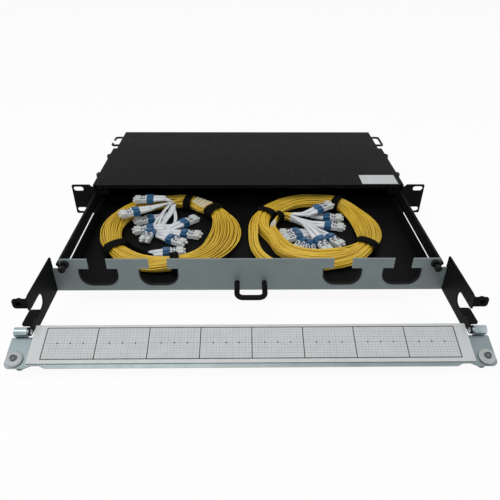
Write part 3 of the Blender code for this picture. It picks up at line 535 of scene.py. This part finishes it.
# Door
# A zinc plated steel plate with a wing at each end, whose rear edge is rolled round the hinge pin.
# It carries a white holder with a printed card: eight ruled fields, each with a broken middle line.
HINGE_Y, HINGE_Z = -250.5 * MM, 9.4 * MM
DOOR_TILT = math.radians(17.8)
door_stand = Matrix.Translation((0, HINGE_Y, HINGE_Z)) @ Matrix.Rotation(DOOR_TILT, 4, "X")
zinc_plate = grained(
    "zinc plating", (0.185, 0.225, 0.235), (0.212, 0.252, 0.262), (0.34, 0.4), 600.0, 0.00002, 1.0,
)
# Lighter, glossier copy of the zinc for the rounded edges: a painted highlight.
zinc_edge_painted_highlight = grained(
    "zinc with a painted edge highlight", (0.38, 0.43, 0.44), (0.5, 0.54, 0.55), (0.2, 0.3), 600.0, 0.00002, 1.0,
)
# Lighter copy of the zinc with light and dark streaks for the rolled knuckle: painted highlights.
knuckle_zinc_painted_highlight = grained(
    "zinc with painted highlights on the rolled knuckle", (0.2, 0.27, 0.29), (0.6, 0.66, 0.68), (0.1, 0.2), 260.0, 0.00006, 1.0,
)
door_plate = deburred("door_plate", "door", zinc_plate, zinc_edge_painted_highlight, 0.3, 3)
door_plate.data.materials.append(knuckle_zinc_painted_highlight)
# Warm, lighter copy of the zinc for the front lip: a painted highlight.
lip_zinc_painted_highlight = grained(
    "zinc with a painted highlight on the front lip", (0.44, 0.42, 0.385), (0.52, 0.5, 0.46), (0.3, 0.42), 600.0, 0.00002, 1.0,
)
door_plate.data.materials.append(lip_zinc_painted_highlight)
KNUCKLE_RADIUS = 5.0 * MM
LIP_REACH = -36.0 * MM
LIP_HALF = 195.0 * MM
to_door = door_stand.inverted()
for face in door_plate.data.polygons:
    # Faces round the hinge take the zinc with painted highlights.
    if math.hypot(face.center.y - HINGE_Y, face.center.z - HINGE_Z) < KNUCKLE_RADIUS:
        face.material_index = 2
    # Faces of the front lip take the zinc with a painted highlight.
    elif (to_door @ face.center).y < LIP_REACH and abs(face.center.x) < LIP_HALF:
        face.material_index = 3
white_sheet = grained(
    "white label holder", (0.58, 0.6, 0.605), (0.61, 0.63, 0.635), (0.34, 0.46), 900.0, 0.00001,
)
deburred("label_panel", "door", white_sheet, white_sheet, 0.2)
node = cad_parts["label_card"]
node.data.materials.clear()
node.data.materials.append(label_paper)

grey_ink = grained(
    "grey printing ink", (0.34, 0.35, 0.365), (0.4, 0.41, 0.425), (0.5, 0.6), 900.0, 0.00001,
)
black_ink = grained(
    "black printing ink", (0.012, 0.012, 0.014), (0.025, 0.025, 0.028), (0.5, 0.6), 900.0, 0.00001,
)
rule_tree, given = node_tree(
    "row of printed bars",
    [
        ("Ground", "Geometry", None), ("Bars", "Int", 9), ("First", "Vector", None),
        ("Step", "Vector", None), ("Bar", "Vector", None), ("Finish", "Material", None),
    ],
)
line = add_node(
    rule_tree, "GeometryNodeMeshLine",
    [("Count", given["Bars"]), ("Start Location", given["First"]), ("Offset", given["Step"])],
    mode="OFFSET",
)["Mesh"]
bar = add_node(rule_tree, "GeometryNodeMeshCube", [("Size", given["Bar"])])["Mesh"]
laid = add_node(rule_tree, "GeometryNodeInstanceOnPoints", [("Points", line), ("Instance", bar)])["Instances"]
close_tree(rule_tree, laid, given["Finish"])

CARD_LEFT, CARD_RIGHT = -199.6, 199.6
CARD_FAR, CARD_NEAR = 4.9, -28.2
FIELDS, COLUMNS, LINES = 8, 8, 6
PRINT_Z = -1.55
INK = 0.1
card_wide = CARD_RIGHT - CARD_LEFT
card_deep = CARD_FAR - CARD_NEAR
card_middle = (CARD_FAR + CARD_NEAR) / 2
column = card_wide / FIELDS / COLUMNS
rule = card_deep / LINES
DASH_STEP = 2.6
ON_TOP = 0.02
inks = {"grey": grey_ink, "black": black_ink}
printed = {"grey": [], "black": []}


def print_bars(ink, count, first, step, size):
    """A row of bars in one ink on the card, with places and sizes in millimetres."""
    ground = bpy.data.meshes.new("ground")
    bars = grown(
        "bars", rule_tree, ground, Bars=count, Finish=inks[ink], First=Vector(first) * MM,
        Step=Vector(step) * MM, Bar=Vector(size) * MM,
    )
    printed[ink].append(bars)


print_bars(
    "grey", FIELDS * COLUMNS - 1, (CARD_LEFT + column, card_middle, PRINT_Z), (column, 0, 0),
    (0.24, card_deep, INK),
)
print_bars(
    "grey", FIELDS * COLUMNS, (CARD_LEFT + column / 2, card_middle, PRINT_Z), (column, 0, 0),
    (0.12, card_deep, INK),
)
print_bars(
    "grey", LINES - 1, (0, CARD_NEAR + rule, PRINT_Z), (0, rule, 0), (card_wide, 0.24, INK)
)
print_bars(
    "grey", LINES, (0, CARD_NEAR + rule / 2, PRINT_Z), (0, rule, 0), (card_wide, 0.12, INK)
)
print_bars(
    "black", int(card_wide / DASH_STEP), (CARD_LEFT + DASH_STEP / 2, card_middle, PRINT_Z + ON_TOP),
    (DASH_STEP, 0, 0), (1.0, 0.24, INK),
)
print_bars(
    "black", FIELDS + 1, (CARD_LEFT, card_middle, PRINT_Z + ON_TOP), (card_wide / FIELDS, 0, 0),
    (0.9, card_deep + 0.8, INK),
)
print_bars(
    "black", 2, (0, CARD_NEAR, PRINT_Z + ON_TOP), (0, card_deep, 0), (card_wide + 0.8, 0.8, INK)
)
for mark in (2, 4, 6):
    print_bars(
        "black", FIELDS, (CARD_LEFT + column * mark, card_middle, PRINT_Z + 2 * ON_TOP),
        (card_wide / FIELDS, 0, 0), (1.2, 1.5, INK),
    )


def piece_of(shape, name, *finishes):
    """Object in the scene from a shape that is no longer needed."""
    data = bpy.data.meshes.new(name)
    shape.to_mesh(data)
    shape.free()
    for finish in finishes:
        data.materials.append(finish)
    piece = bpy.data.objects.new(name, data)
    scene.collection.objects.link(piece)
    return piece


for ink, parts in printed.items():
    shape = bmesh.new()
    for part in parts:
        shape.from_mesh(part.data)
        bpy.data.objects.remove(part, do_unlink=True)
    bmesh.ops.transform(shape, matrix=door_stand, verts=shape.verts)
    piece = piece_of(shape, "card_rules_" + ink, inks[ink])
    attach(piece, "door")


# Door latches
# Milky nylon push latches, one in each wing of the door, each with a smoky grey eye round its pin.
milky_nylon = grained(
    "milky nylon", (0.4, 0.43, 0.43), (0.46, 0.49, 0.49), (0.3, 0.42), 500.0, 0.00002,
    Subsurface_Weight=0.1, Subsurface_Scale=0.002,
)
smoky_nylon = grained(
    "smoky nylon", (0.07, 0.08, 0.084), (0.1, 0.112, 0.115), (0.3, 0.42), 500.0, 0.00002,
)
grey_pin = grained(
    "grey nylon pin", (0.2, 0.22, 0.22), (0.26, 0.28, 0.28), (0.3, 0.42), 500.0, 0.00002,
)
LATCH_X, LATCH_REACH = 223.8 * MM, 27.6 * MM
EYE_RADIUS, EYE_LOWEST = 3.4 * MM, -2.6 * MM
for side, way in (("left", -1), ("right", 1)):
    latch = deburred("door_latch_" + side, "door", milky_nylon, milky_nylon, 0.3, 2)
    latch.data.materials.append(smoky_nylon)
    for face in latch.data.polygons:
        spot = to_door @ face.center
        from_eye = math.hypot(spot.x - way * LATCH_X, spot.y + LATCH_REACH)
        if from_eye < EYE_RADIUS and spot.z > EYE_LOWEST:
            face.material_index = 2
    deburred(
        "door_plunger_" + side, "door_catch_pin_" + side, grey_pin, grey_pin, 0.2
    )


# Duplex plugs
# Two white housings under dust caps, side by side in a blue clip, with a long white boot on each cord.
# Nine lie in and on each coil. Sizes and places from here on are in millimetres.
white_plastic = grained(
    "white moulded plastic", (0.68, 0.7, 0.73), (0.76, 0.78, 0.8), (0.3, 0.42), 900.0, 0.00001,
    Subsurface_Weight=0.08, Subsurface_Scale=0.002,
)
cap_plastic = grained(
    "milky dust cap", (0.56, 0.59, 0.58), (0.66, 0.68, 0.66), (0.28, 0.4), 900.0, 0.00001,
    Subsurface_Weight=0.2, Subsurface_Scale=0.002,
)
blue_plastic = grained(
    "blue moulded plastic", (0.016, 0.085, 0.19), (0.024, 0.115, 0.25), (0.3, 0.42), 900.0, 0.00002,
)
# Near black for openings in the plugs: painted shade.
painted_shade_opening = grained(
    "painted shade in an opening", (0.004, 0.004, 0.005), (0.008, 0.008, 0.009), (0.6, 0.8), 900.0, 0.00002,
)
WHITE, BLUE, CAP, PAINTED_SHADE = 0, 1, 2, 3
NOSE = 17.0
SPREAD = 3.15
FIBRE_HEIGHT = 3.7
PLUG_GROWTH = 1.13


def block(shape, low, high, corner, index, slope=0.0):
    """Box with rounded edges, whose front top edge may be lowered."""
    made = bmesh.ops.create_cube(shape, size=1.0)["verts"]
    for vert in made:
        share = [vert.co[axis] + 0.5 for axis in range(3)]
        spot = [low[axis] + share[axis] * (high[axis] - low[axis]) for axis in range(3)]
        if share[2] > 0.5 and share[0] > 0.5:
            spot[2] -= slope
        vert.co = spot
    edges = {edge for vert in made for edge in vert.link_edges}
    rounded = bmesh.ops.bevel(
        shape, geom=list(edges), offset=corner, segments=2, profile=0.5, affect="EDGES"
    )
    for face in {face for vert in rounded["verts"] for face in vert.link_faces}:
        face.material_index = index


def rod(shape, points, radii, sides, index):
    """Round rod along a line of points, closed at both ends."""
    rings = []
    normal = None
    for place, point in enumerate(points):
        before = points[max(place - 1, 0)]
        after = points[min(place + 1, len(points) - 1)]
        along = (after - before).normalized()
        if normal is None:
            normal = along.orthogonal().normalized()
        normal = (normal - along * normal.dot(along)).normalized()
        across = along.cross(normal)
        ring = []
        for step in range(sides):
            angle = 2 * math.pi * step / sides
            spot = point + (normal * math.cos(angle) + across * math.sin(angle)) * radii[place]
            ring.append(shape.verts.new(spot))
        rings.append(ring)
    faces = [shape.faces.new(list(reversed(rings[0]))), shape.faces.new(rings[-1])]
    for first, second in zip(rings, rings[1:]):
        for step in range(sides):
            after = (step + 1) % sides
            faces.append(
                shape.faces.new((first[step], first[after], second[after], second[step]))
            )
    for face in faces:
        face.material_index = index
        face.smooth = len(face.verts) == 4


def merge(shape, added):
    """Add a second shape, which is no longer needed then, to the first."""
    data = bpy.data.meshes.new("part")
    added.to_mesh(data)
    added.free()
    shape.from_mesh(data)
    bpy.data.meshes.remove(data)


def plug_shape(shape, spot, heading, pitch):
    """Add one duplex plug whose nose is at spot and return where it stands."""
    local = bmesh.new()
    for side in (-1, 1):
        middle = side * SPREAD
        block(local, (-8, middle - 2.35, 1.2), (7.5, middle + 2.35, 6.2), 0.3, WHITE)
        block(local, (-3, middle - 1.4, 5.6), (5.9, middle + 1.4, 7.4), 0.3, WHITE, 1.2)
        # Dark blocks where the housing has openings: painted shade.
        for near in (0.3, 3.4):
            block(
                local, (near, middle - 1.15, 5.9), (near + 2.0, middle + 1.15, 7.25 - near * 0.16),
                0.05, PAINTED_SHADE,
            )
        block(local, (6, middle - 2.85, 0.6), (14.2, middle + 2.85, 6.9), 0.9, CAP)
        block(local, (7.2, middle - 1.3, 6.2), (12.6, middle + 1.3, 7.5), 0.5, CAP, 0.6)
        nub = [Vector((x, middle, FIBRE_HEIGHT)) for x in (13.8, 14.4, 16.2, 16.8, 17.0)]
        rod(local, nub, (2.1, 1.75, 1.65, 1.2, 0.5), 10, CAP)
        boot = [Vector((x, middle, FIBRE_HEIGHT)) for x in (-9.5, -12.0, -14.0, -20.0, -27.0)]
        rod(local, boot, (2.9, 2.9, 2.7, 2.3, 1.9), 12, WHITE)
    block(local, (-10.8, -6.2, 0.2), (-1.6, 6.2, 7.2), 0.6, BLUE)
    block(local, (-10.4, -3.2, 6.8), (-3.4, 3.2, 8.6), 0.5, BLUE, -0.4)
    # Dark strips on the clip in front of its raised part: painted shade.
    for side in (-1, 1):
        block(
            local, (-3.4, side * SPREAD - 1.2, 7.0), (-1.9, side * SPREAD + 1.2, 7.35), 0.05, PAINTED_SHADE
        )
    stand = (
        Matrix.Translation(spot)
        @ Matrix.Rotation(math.radians(heading), 4, "Z")
        @ Matrix.Rotation(math.radians(-pitch), 4, "Y")
        @ Matrix.Translation((-NOSE, 0, 0))
        @ Matrix.Diagonal((1.0, PLUG_GROWTH, PLUG_GROWTH, 1.0))
    )
    bmesh.ops.transform(local, matrix=stand, verts=local.verts)
    merge(shape, local)
    return stand


# Each row: the place of the nose with the height of its underside, heading and pitch in degrees, the
# solid that the plug stands for, the angle at which its cords join the coil where that isn't the
# common one, and the way that they take to it. The lowest plug comes first.
PLUGS = {
    "left": (
        ((-78.0, -108.0, 3.55), 8, 0, None, 226, ((-131.5, -116.5, 6.0),)),
        ((-152.0, -62.0, 3.55), 196, 0, None, None,
         ((-101, -45, 5.0), (-99, -33, 6.0), (-101, -18, 9.0))),
        ((-79.4, -93.1, 3.55), 329, 0, None, None,
         ((-119.2, -65, 5), (-119, -57, 4.8), (-117, -42, 6.5), (-109, -19, 10))),
        ((-60.5, -72.5, 3.55), 350, 0, "plug_left_5", None,
         ((-116, -58.5, 4.8), (-117, -50, 4.8), (-114.5, -34, 6.5), (-107, -17, 10))),
        ((-69.2, -25.7, 3.55), 41, 0, "plug_left_4", None,
         ((-112.4, -58, 5), (-115, -50, 5), (-112.5, -34, 7), (-105, -16, 11))),
        ((-154.0, -42.0, 5.6), 205, 2, None, None, ((-103, -14, 12),)),
        ((-133.6, -88.0, 3.55), 256, 0, "plug_left_3", None, ((-116.5, -24, 14),)),
        ((-170.0, -49.9, 20.6), 206, 0, "plug_left_1", None, ((-116, -14.5, 21.5),)),
        ((-158.2, -9.4, 21.6), 186, 0, "plug_left_2", None, ()),
    ),
    "right": (
        ((36.5, -68.0, 3.55), 184, 0, "plug_right_3", None,
         ((84.5, -60.5, 4.8), (85.5, -54, 4.6), (77, -46.5, 5), (62, -37.5, 7))),
        ((56.0, -109.0, 3.55), 243, 0, None, None, ((79, -66, 6.5), (80, -56, 6.5), (67, -43, 8))),
        ((74.0, -118.0, 3.55), 267, 0, "plug_right_4", None, ((75.5, -62, 11.5), (66, -46, 12))),
        ((40.5, -84.0, 3.55), 192, -9, None, None,
         ((84.5, -69, 12.4), (83, -60, 12.2), (73, -49, 12.5), (60, -38.5, 13))),
        ((126.7, -54.6, 3.55), 345, 0, "plug_right_1", None, ((62, -35.5, 12),)),
        ((128.5, -30.0, 3.55), 350, 0, "plug_right_5", None, ((64, -24.5, 12),)),
        ((116.0, -98.5, 3.55), 306, 0, "plug_right_2", None, ((70, -43.5, 13.5),)),
        ((97.0, -113.0, 3.9), 300, -16, None, None, ((66, -53, 17.5),)),
        ((115.0, -14.0, 18.5), 25, 9, None, None, ((62, -31.5, 15.5),)),
    ),
}


# Fibre cords
# Yellow 2 mm jackets round one fibre each, eighteen to a coil. Every cord leaves the long white boot
# of a plug, goes three to four times round the coil and ends bare under a tie.
COILS = {
    "left": {"centre": (-102.0, -66.0), "radius": 74.0, "way": -1, "join": 84.0, "end": 41.0,
             "gate": (-105.5, -3.5, 12.5), "ties": (76, 41, 216, 281)},
    "right": {"centre": (84.0, -62.0), "radius": 72.5, "way": 1, "join": 168.0, "end": 150.0,
              "gate": (43.5, -30.5, 9.5), "ties": (58, 150, 324)},
}
CORD = 2.0
CORDS = 18
ROWS = (7, 9, 10, 11, 11, 9, 7)
LAPS = sum(ROWS) / CORDS
PITCH_ACROSS = 2.18
PITCH_UP = 1.94
LOWEST = 5.8
ON_TRAY = 4.6
LEAD_STEP = 3.0
LAP_STEP = 7.5
WHOLE_TURNS = 3
SLOW_UNTIL, SLOW_BLEND = 112.0, 55.0
SMOOTHINGS = 6

lanes = []
for row, count in enumerate(ROWS):
    line = [
        ((column - (count - 1) / 2) * PITCH_ACROSS, LOWEST + row * PITCH_UP)
        for column in range(count)
    ]
    lanes += line if row % 2 == 0 else line[::-1]


def smooth(share):
    """Share from 0 to 1 that starts and stops gently."""
    share = min(1.0, max(0.0, share))
    return share * share * (3 - 2 * share)


def lane_at(place):
    place = max(0.0, min(place, len(lanes) - 1.0))
    first = min(int(place), len(lanes) - 2)
    share = smooth(place - first)
    (a, b), (c, d) = lanes[first], lanes[first + 1]
    return a + (c - a) * share, b + (d - b) * share


def gap_between(first, second):
    return abs((first - second + 180) % 360 - 180)


def away_from(angle, ties):
    """1 midway between ties, 0 under one."""
    return smooth((min(gap_between(angle, tie) for tie in ties) - 3.0) / 20.0)


def swell(angle, middle, half):
    """1 at a middle angle, falling to 0 at half the width of the swelling from it."""
    return (math.cos(math.pi * min(gap_between(angle, middle) / half, 1.0)) + 1) / 2


def swollen_back(label, angle):
    """How far the coil stands out and up at its back."""
    if label == "left":
        back = swell(angle, 122.0, 88.0)
        return 5.6 * back, 3.4 * back
    back = swell(angle, 84.0, 70.0)
    return 4.2 * back, 3.4 * back


def round_coil(coil, angle, spread, up):
    turned = math.radians(angle)
    x, y = coil["centre"]
    return Vector((x + spread * math.cos(turned), y + spread * math.sin(turned), up))


def coil_point(label, angle, place):
    """Where the middle of a strand lies at an angle round the coil, from its lane."""
    coil = COILS[label]
    across, up = lane_at(place)
    free = away_from(angle, coil["ties"])
    round_x = math.cos(math.radians(angle)) * 1.6
    round_y = math.sin(math.radians(angle)) * 1.6
    middle = LOWEST + 3 * PITCH_UP
    lean = 16.0 * math.sin(math.radians(2 * angle + (40 if label == "left" else 110)))
    lean = math.radians(lean) * free
    lift = (up - middle) * 1.3
    across, lift = (
        across * math.cos(lean) - lift * math.sin(lean),
        (lift * math.cos(lean) + across * math.sin(lean)) / 1.3,
    )
    up = LOWEST - 1.2 * free + (lift + 3 * PITCH_UP) * (1.0 - 0.12 * free)
    across *= 0.93 + 0.25 * free
    across += 1.1 * noise.noise(Vector((place * 0.9, round_x, round_y))) * free
    up += 0.7 * noise.noise(Vector((place * 0.9 + 40, round_x, round_y))) * free
    if label == "left":
        loose = swell(angle, -14.0, 54.0)
        across = across * (1 + 0.38 * loose) - 4.5 * loose
        across += 1.3 * loose * noise.noise(Vector((place * 2.3, round_x + 9, round_y)))
        if across > 6.0:
            across += (across - 6.0) * 0.5 * loose
        up -= (up - LOWEST) * 0.25 * loose
    else:
        before = place - (angle - 125.0) % 360 / 360
        if lane_at(before)[0] > 1.5:
            across += 15.0 * swell(angle, 232.0, 50.0)
        else:
            across -= 9.0 * swell(angle, 200.0, 32.0)
        loose = swell(angle, 6.0, 48.0)
        across = across * (1 + 0.22 * loose) - 2.5 * loose
        up -= (up - LOWEST) * 0.15 * loose
    out, lift = swollen_back(label, angle)
    up = max(up + lift * (up - LOWEST) / (6 * PITCH_UP), ON_TRAY)
    return round_coil(coil, angle, coil["radius"] + across + out, up)


def through(points, every):
    """Smooth curve through given points, as a close row of points."""
    made = [points[0]]
    for number in range(len(points) - 1):
        second, third = points[number], points[number + 1]
        first = points[number - 1] if number else second * 2 - third
        fourth = points[number + 2] if number + 2 < len(points) else third * 2 - second
        t1 = (second - first).length ** 0.5
        t2 = t1 + (third - second).length ** 0.5
        t3 = t2 + (fourth - third).length ** 0.5
        count = max(1, round((third - second).length / every))
        for step in range(1, count + 1):
            t = t1 + (t2 - t1) * step / count
            a = first * ((t1 - t) / t1) + second * (t / t1)
            b = second * ((t2 - t) / (t2 - t1)) + third * ((t - t1) / (t2 - t1))
            c = third * ((t3 - t) / (t3 - t2)) + fourth * ((t - t2) / (t3 - t2))
            d = a * ((t2 - t) / t2) + b * (t / t2)
            e = b * ((t3 - t) / (t3 - t1)) + c * ((t - t1) / (t3 - t1))
            made.append(d * ((t2 - t) / (t2 - t1)) + e * ((t - t1) / (t2 - t1)))
    return made


def cord_route(label, number, mouth, back, across, ways, side, join):
    """Points of one cord, and how many of them lie before the gate."""
    coil = COILS[label]
    way = coil["way"]
    column, layer = number % 4 - 1.5, number // 4
    points = [mouth, mouth + back * 6 - across * side * 0.8]
    for place, spot in enumerate(ways):
        before = points[-1]
        after = Vector(ways[place + 1]) if place + 1 < len(ways) else Vector(coil["gate"])
        along = after - before
        beside = Vector((-along.y, along.x, 0)).normalized()
        if beside.dot(across) < 0 and place == 0:
            side = -side
        points.append(Vector(spot) + beside * side * 1.12)
    start = LAPS * number + 0.15
    if join is None:
        points.append(Vector(coil["gate"]) + Vector((column * 1.5, column * 1.1, layer * 1.9)))
        joins = coil["join"] + way * 1.4 * (number % 4)
    else:
        joins = join + way * 3.0 * (number % 2)

    def beside_coil(angle):
        spread = 56.0 - 5.0 * swell(angle, 200.0, 40.0) + column * 2.0
        return round_coil(coil, angle, spread, LOWEST + 0.4 + layer * 1.9)

    gated = len(points)
    slow = label == "right" and join is None
    points.append(beside_coil(joins) if slow else coil_point(label, joins, start))
    whole = 360.0 * WHOLE_TURNS + (coil["end"] - way * 2.0 - joins) * way % 360
    steps = int(whole / LAP_STEP)
    lead = through(points, LEAD_STEP)
    before_gate = through(points[:gated], LEAD_STEP)
    lap = []
    for step in range(1, steps + 1):
        angle = joins + way * whole * step / steps
        spot = coil_point(label, angle, start + (LAPS - 0.35) * step / steps)
        if slow:
            share = smooth((whole * step / steps - SLOW_UNTIL) / SLOW_BLEND)
            spot = beside_coil(angle).lerp(spot, share)
        lap.append(spot)
    route = lead + lap
    last = len(lead)
    for _ in range(SMOOTHINGS):
        eased = [
            (before + spot * 2 + after) / 4
            for before, spot, after in zip(route, route[1:], route[2:])
        ]
        route[2:last] = eased[1:last - 1]
    return route, len(before_gate)


jacket = grained(
    "yellow cord jacket", (0.66, 0.43, 0.03), (0.78, 0.53, 0.045), (0.34, 0.46), 700.0, 0.00001,
)
BOOT_END = 2.3
BOOT_THIN, BOOT_TAPER = 1.2, 30.0
for label in ("left", "right"):
    pieces = []
    routes = []
    for spot, heading, pitch, node, join, ways in PLUGS[label]:
        shape = bmesh.new()
        stand = plug_shape(shape, spot, heading, pitch)
        back = (stand.to_3x3() @ Vector((-1, 0, 0))).normalized()
        across = (stand.to_3x3() @ Vector((0, 1, 0))).normalized()
        for side in (-1, 1):
            mouth = stand @ Vector((-20.0, side * SPREAD, FIBRE_HEIGHT))
            route, bare = cord_route(label, len(routes), mouth, back, across, ways, side, join)
            routes.append((route, len(pieces)))
            if label == "right":
                bare -= 5
            done = 0.0
            radii = [BOOT_END]
            for here in range(1, max(bare, 5)):
                done += (route[here] - route[here - 1]).length
                radii.append(BOOT_THIN + 1.1 * max(0.0, 1.0 - done / BOOT_TAPER))
            rod(shape, route[: len(radii)], radii, 10, WHITE)
        bmesh.ops.transform(shape, matrix=Matrix.Scale(MM, 4), verts=shape.verts)
        piece = piece_of(
            shape, "duplex_plug_%s_%d" % (label, len(pieces) + 1),
            white_plastic, blue_plastic, cap_plastic, painted_shade_opening,
        )
        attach(piece, "tray")
        if node:
            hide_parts(node)
        pieces.append(piece)
    ringed = [route for route, plug in routes[-6:]]
    for number, (route, plug) in enumerate(routes, 1):
        route = [point * MM for point in route]
        line = bpy.data.curves.new("fibre_cord_%s_%d" % (label, number), "CURVE")
        line.dimensions = "3D"
        line.bevel_depth = CORD / 2 * MM
        line.bevel_resolution = 1
        line.use_fill_caps = True
        spline = line.splines.new("POLY")
        spline.points.add(len(route) - 1)
        for knot, point in zip(spline.points, route):
            knot.co = (*point, 1.0)
        spline.use_smooth = True
        line.materials.append(jacket)
        cord = bpy.data.objects.new(line.name, line)
        scene.collection.objects.link(cord)
        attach(cord, "tray")
        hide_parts("fibre_coil_" + label)


# Number rings
# White plastic rings with bare faces, clipped in rows on some of the cords: beside a tie on the left
# coil, and on the leads of the right one.
ring_plastic = grained(
    "white number ring", (0.6, 0.58, 0.5), (0.7, 0.68, 0.6), (0.4, 0.55), 900.0, 0.00001,
)
ring_tree, given = node_tree(
    "rings along cords",
    [
        ("Cords", "Geometry", None), ("Rings", "Int", 5), ("Radius", "Float", 0.0015),
        ("Length", "Float", 0.003), ("Finish", "Material", None),
    ],
)
spots = add_node(
    ring_tree, "GeometryNodeCurveToPoints", [("Curve", given["Cords"]), ("Count", given["Rings"])],
    mode="COUNT",
)
ring = add_node(
    ring_tree, "GeometryNodeMeshCylinder",
    [("Vertices", 12), ("Radius", given["Radius"]), ("Depth", given["Length"])],
)["Mesh"]
along = add_node(
    ring_tree, "FunctionNodeAlignRotationToVector", [("Vector", spots["Tangent"])], axis="Z"
)["Rotation"]
clipped = add_node(
    ring_tree, "GeometryNodeInstanceOnPoints",
    [("Points", spots["Points"]), ("Instance", ring), ("Rotation", along)],
)["Instances"]
close_tree(ring_tree, clipped, given["Finish"])
LEAD_RINGS = 162.0, 178.0
RINGED_LANES = (57, 58, 59, 60, 61, 62, 63, 49, 50)
RINGS_FROM, RINGS_OVER = 68.0, 15.0
for label in ("left", "right"):
    base = bpy.data.curves.new("ringed_cords_" + label, "CURVE")
    base.dimensions = "3D"
    rows = []
    if label == "left":
        for lane in RINGED_LANES:
            rows.append(
                [coil_point(label, RINGS_FROM - RINGS_OVER * step / 8, lane) for step in range(9)]
            )
    else:
        centre = Vector((*COILS[label]["centre"], 0.0))
        for route in ringed:
            row = []
            for point in route[:40]:
                offset = point - centre
                angle = math.degrees(math.atan2(offset.y, offset.x)) % 360
                if offset.xy.length > 46 and LEAD_RINGS[0] < angle < LEAD_RINGS[1]:
                    row.append(point)
            rows.append(row)
    for row in rows:
        spline = base.splines.new("POLY")
        spline.points.add(len(row) - 1)
        for knot, point in zip(spline.points, row):
            knot.co = (*point * MM, 1.0)
    sizes = {"Radius": 1.5 * MM, "Length": 3.0 * MM}
    if label == "right":
        sizes = {"Radius": 1.3 * MM, "Length": 2.2 * MM}
    piece = grown("number_rings_" + label, ring_tree, base, Finish=ring_plastic, **sizes)
    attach(piece, "tray")


# Cord ties
# Black hook-and-loop tape wrapped tightly round each coil, with its end lapped over itself. One tail
# is left long and lies along the inside of the left coil. A small loop gathers the right coil's leads.
tape = grained(
    "black hook and loop tape", (0.0025, 0.0025, 0.0025), (0.006, 0.006, 0.006), (0.85, 0.97),
    2600.0, 0.0002, Specular_IOR_Level=0.05,
)


def ribbon(shape, rows):
    """Closed strip from rows of four corners."""
    rings = [[shape.verts.new(corner) for corner in row] for row in rows]
    shape.faces.new(rings[0])
    shape.faces.new(list(reversed(rings[-1])))
    for first, second in zip(rings, rings[1:]):
        for side in range(4):
            after = (side + 1) % 4
            shape.faces.new((first[side], second[side], second[after], first[after]))


def loop_rows(half_wide, half_high, wide, floor, thick=1.0):
    """Tape once and a bit round a strand bundle, in the plane across it."""
    rows = []
    for step in range(53):
        share = step / 52
        around = math.radians(100 + 430 * share)
        lap = 1.15 * max(0.0, share - 290 / 430) / (140 / 430)
        c, s = math.cos(around), math.sin(around)
        power = 2 / 2.9
        a = math.copysign(abs(c) ** power, c) * (half_wide + lap)
        b = math.copysign(abs(s) ** power, s) * (half_high + lap)
        grow = 1.0 + thick / math.hypot(a, b)
        wave = 0.12 * math.sin(step * 0.9)
        rows.append(
            [
                (a, -wide / 2 + wave, max(b, floor)), (a, wide / 2 + wave, max(b, floor)),
                (a * grow, wide / 2 + wave, max(b * grow, floor - 0.3)),
                (a * grow, -wide / 2 + wave, max(b * grow, floor - 0.3)),
            ]
        )
    return rows


TIE_WIDTHS = {"left": (10.0, 15.0, 13.0, 10.0), "right": (10.0, 10.0, 12.0)}
TIE_MIDDLE = 11.7
TAIL_STEPS = 24
TAIL_HALF = 4.6
TAIL_SECTION = ((0.9, 1), (-0.6, -1), (-1.6, -1), (-0.1, 1))
SMALL_LOOP = (39.5, -34.0, 13.4)
for label in ("left", "right"):
    coil = COILS[label]
    for number, angle in enumerate(coil["ties"], 1):
        shape = bmesh.new()
        out, lift = swollen_back(label, angle)
        ribbon(
            shape, loop_rows(13.2, 8.0 + lift / 2, TIE_WIDTHS[label][number - 1], -8.1 - lift / 2)
        )
        stand = (
            Matrix.Translation((*coil["centre"], TIE_MIDDLE + lift / 2))
            @ Matrix.Rotation(math.radians(angle), 4, "Z")
            @ Matrix.Translation((coil["radius"] + out, 0, 0))
        )
        bmesh.ops.transform(shape, matrix=stand, verts=shape.verts)
        if (label, number) == ("left", 3):
            tail = []
            for step in range(TAIL_STEPS + 1):
                share = step / TAIL_STEPS
                spread = 60.2 - 1.2 * math.sin(share * math.pi)
                middle = 17.0 - 6.5 * share
                tail.append(
                    [
                        round_coil(coil, angle - 2 + 44 * share, spread + out, middle + rise * TAIL_HALF)
                        for out, rise in TAIL_SECTION
                    ]
                )
            ribbon(shape, tail)
        if (label, number) == ("right", 2):
            small = bmesh.new()
            ribbon(small, loop_rows(6.0, 5.4, 8.0, -9.0))
            spot = Matrix.Translation(SMALL_LOOP) @ Matrix.Rotation(math.radians(128), 4, "Z")
            bmesh.ops.transform(small, matrix=spot, verts=small.verts)
            merge(shape, small)
        bmesh.ops.recalc_face_normals(shape, faces=shape.faces)
        bmesh.ops.transform(shape, matrix=Matrix.Scale(MM, 4), verts=shape.verts)
        piece = piece_of(shape, "tape_tie_%s_%d" % (label, number), tape)
        for face in piece.data.polygons:
            face.use_smooth = True
        piece.data.set_sharp_from_angle(angle=math.radians(50))
        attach(piece, "tray")
        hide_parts("cord_tie_%s_%d" % (label, number))
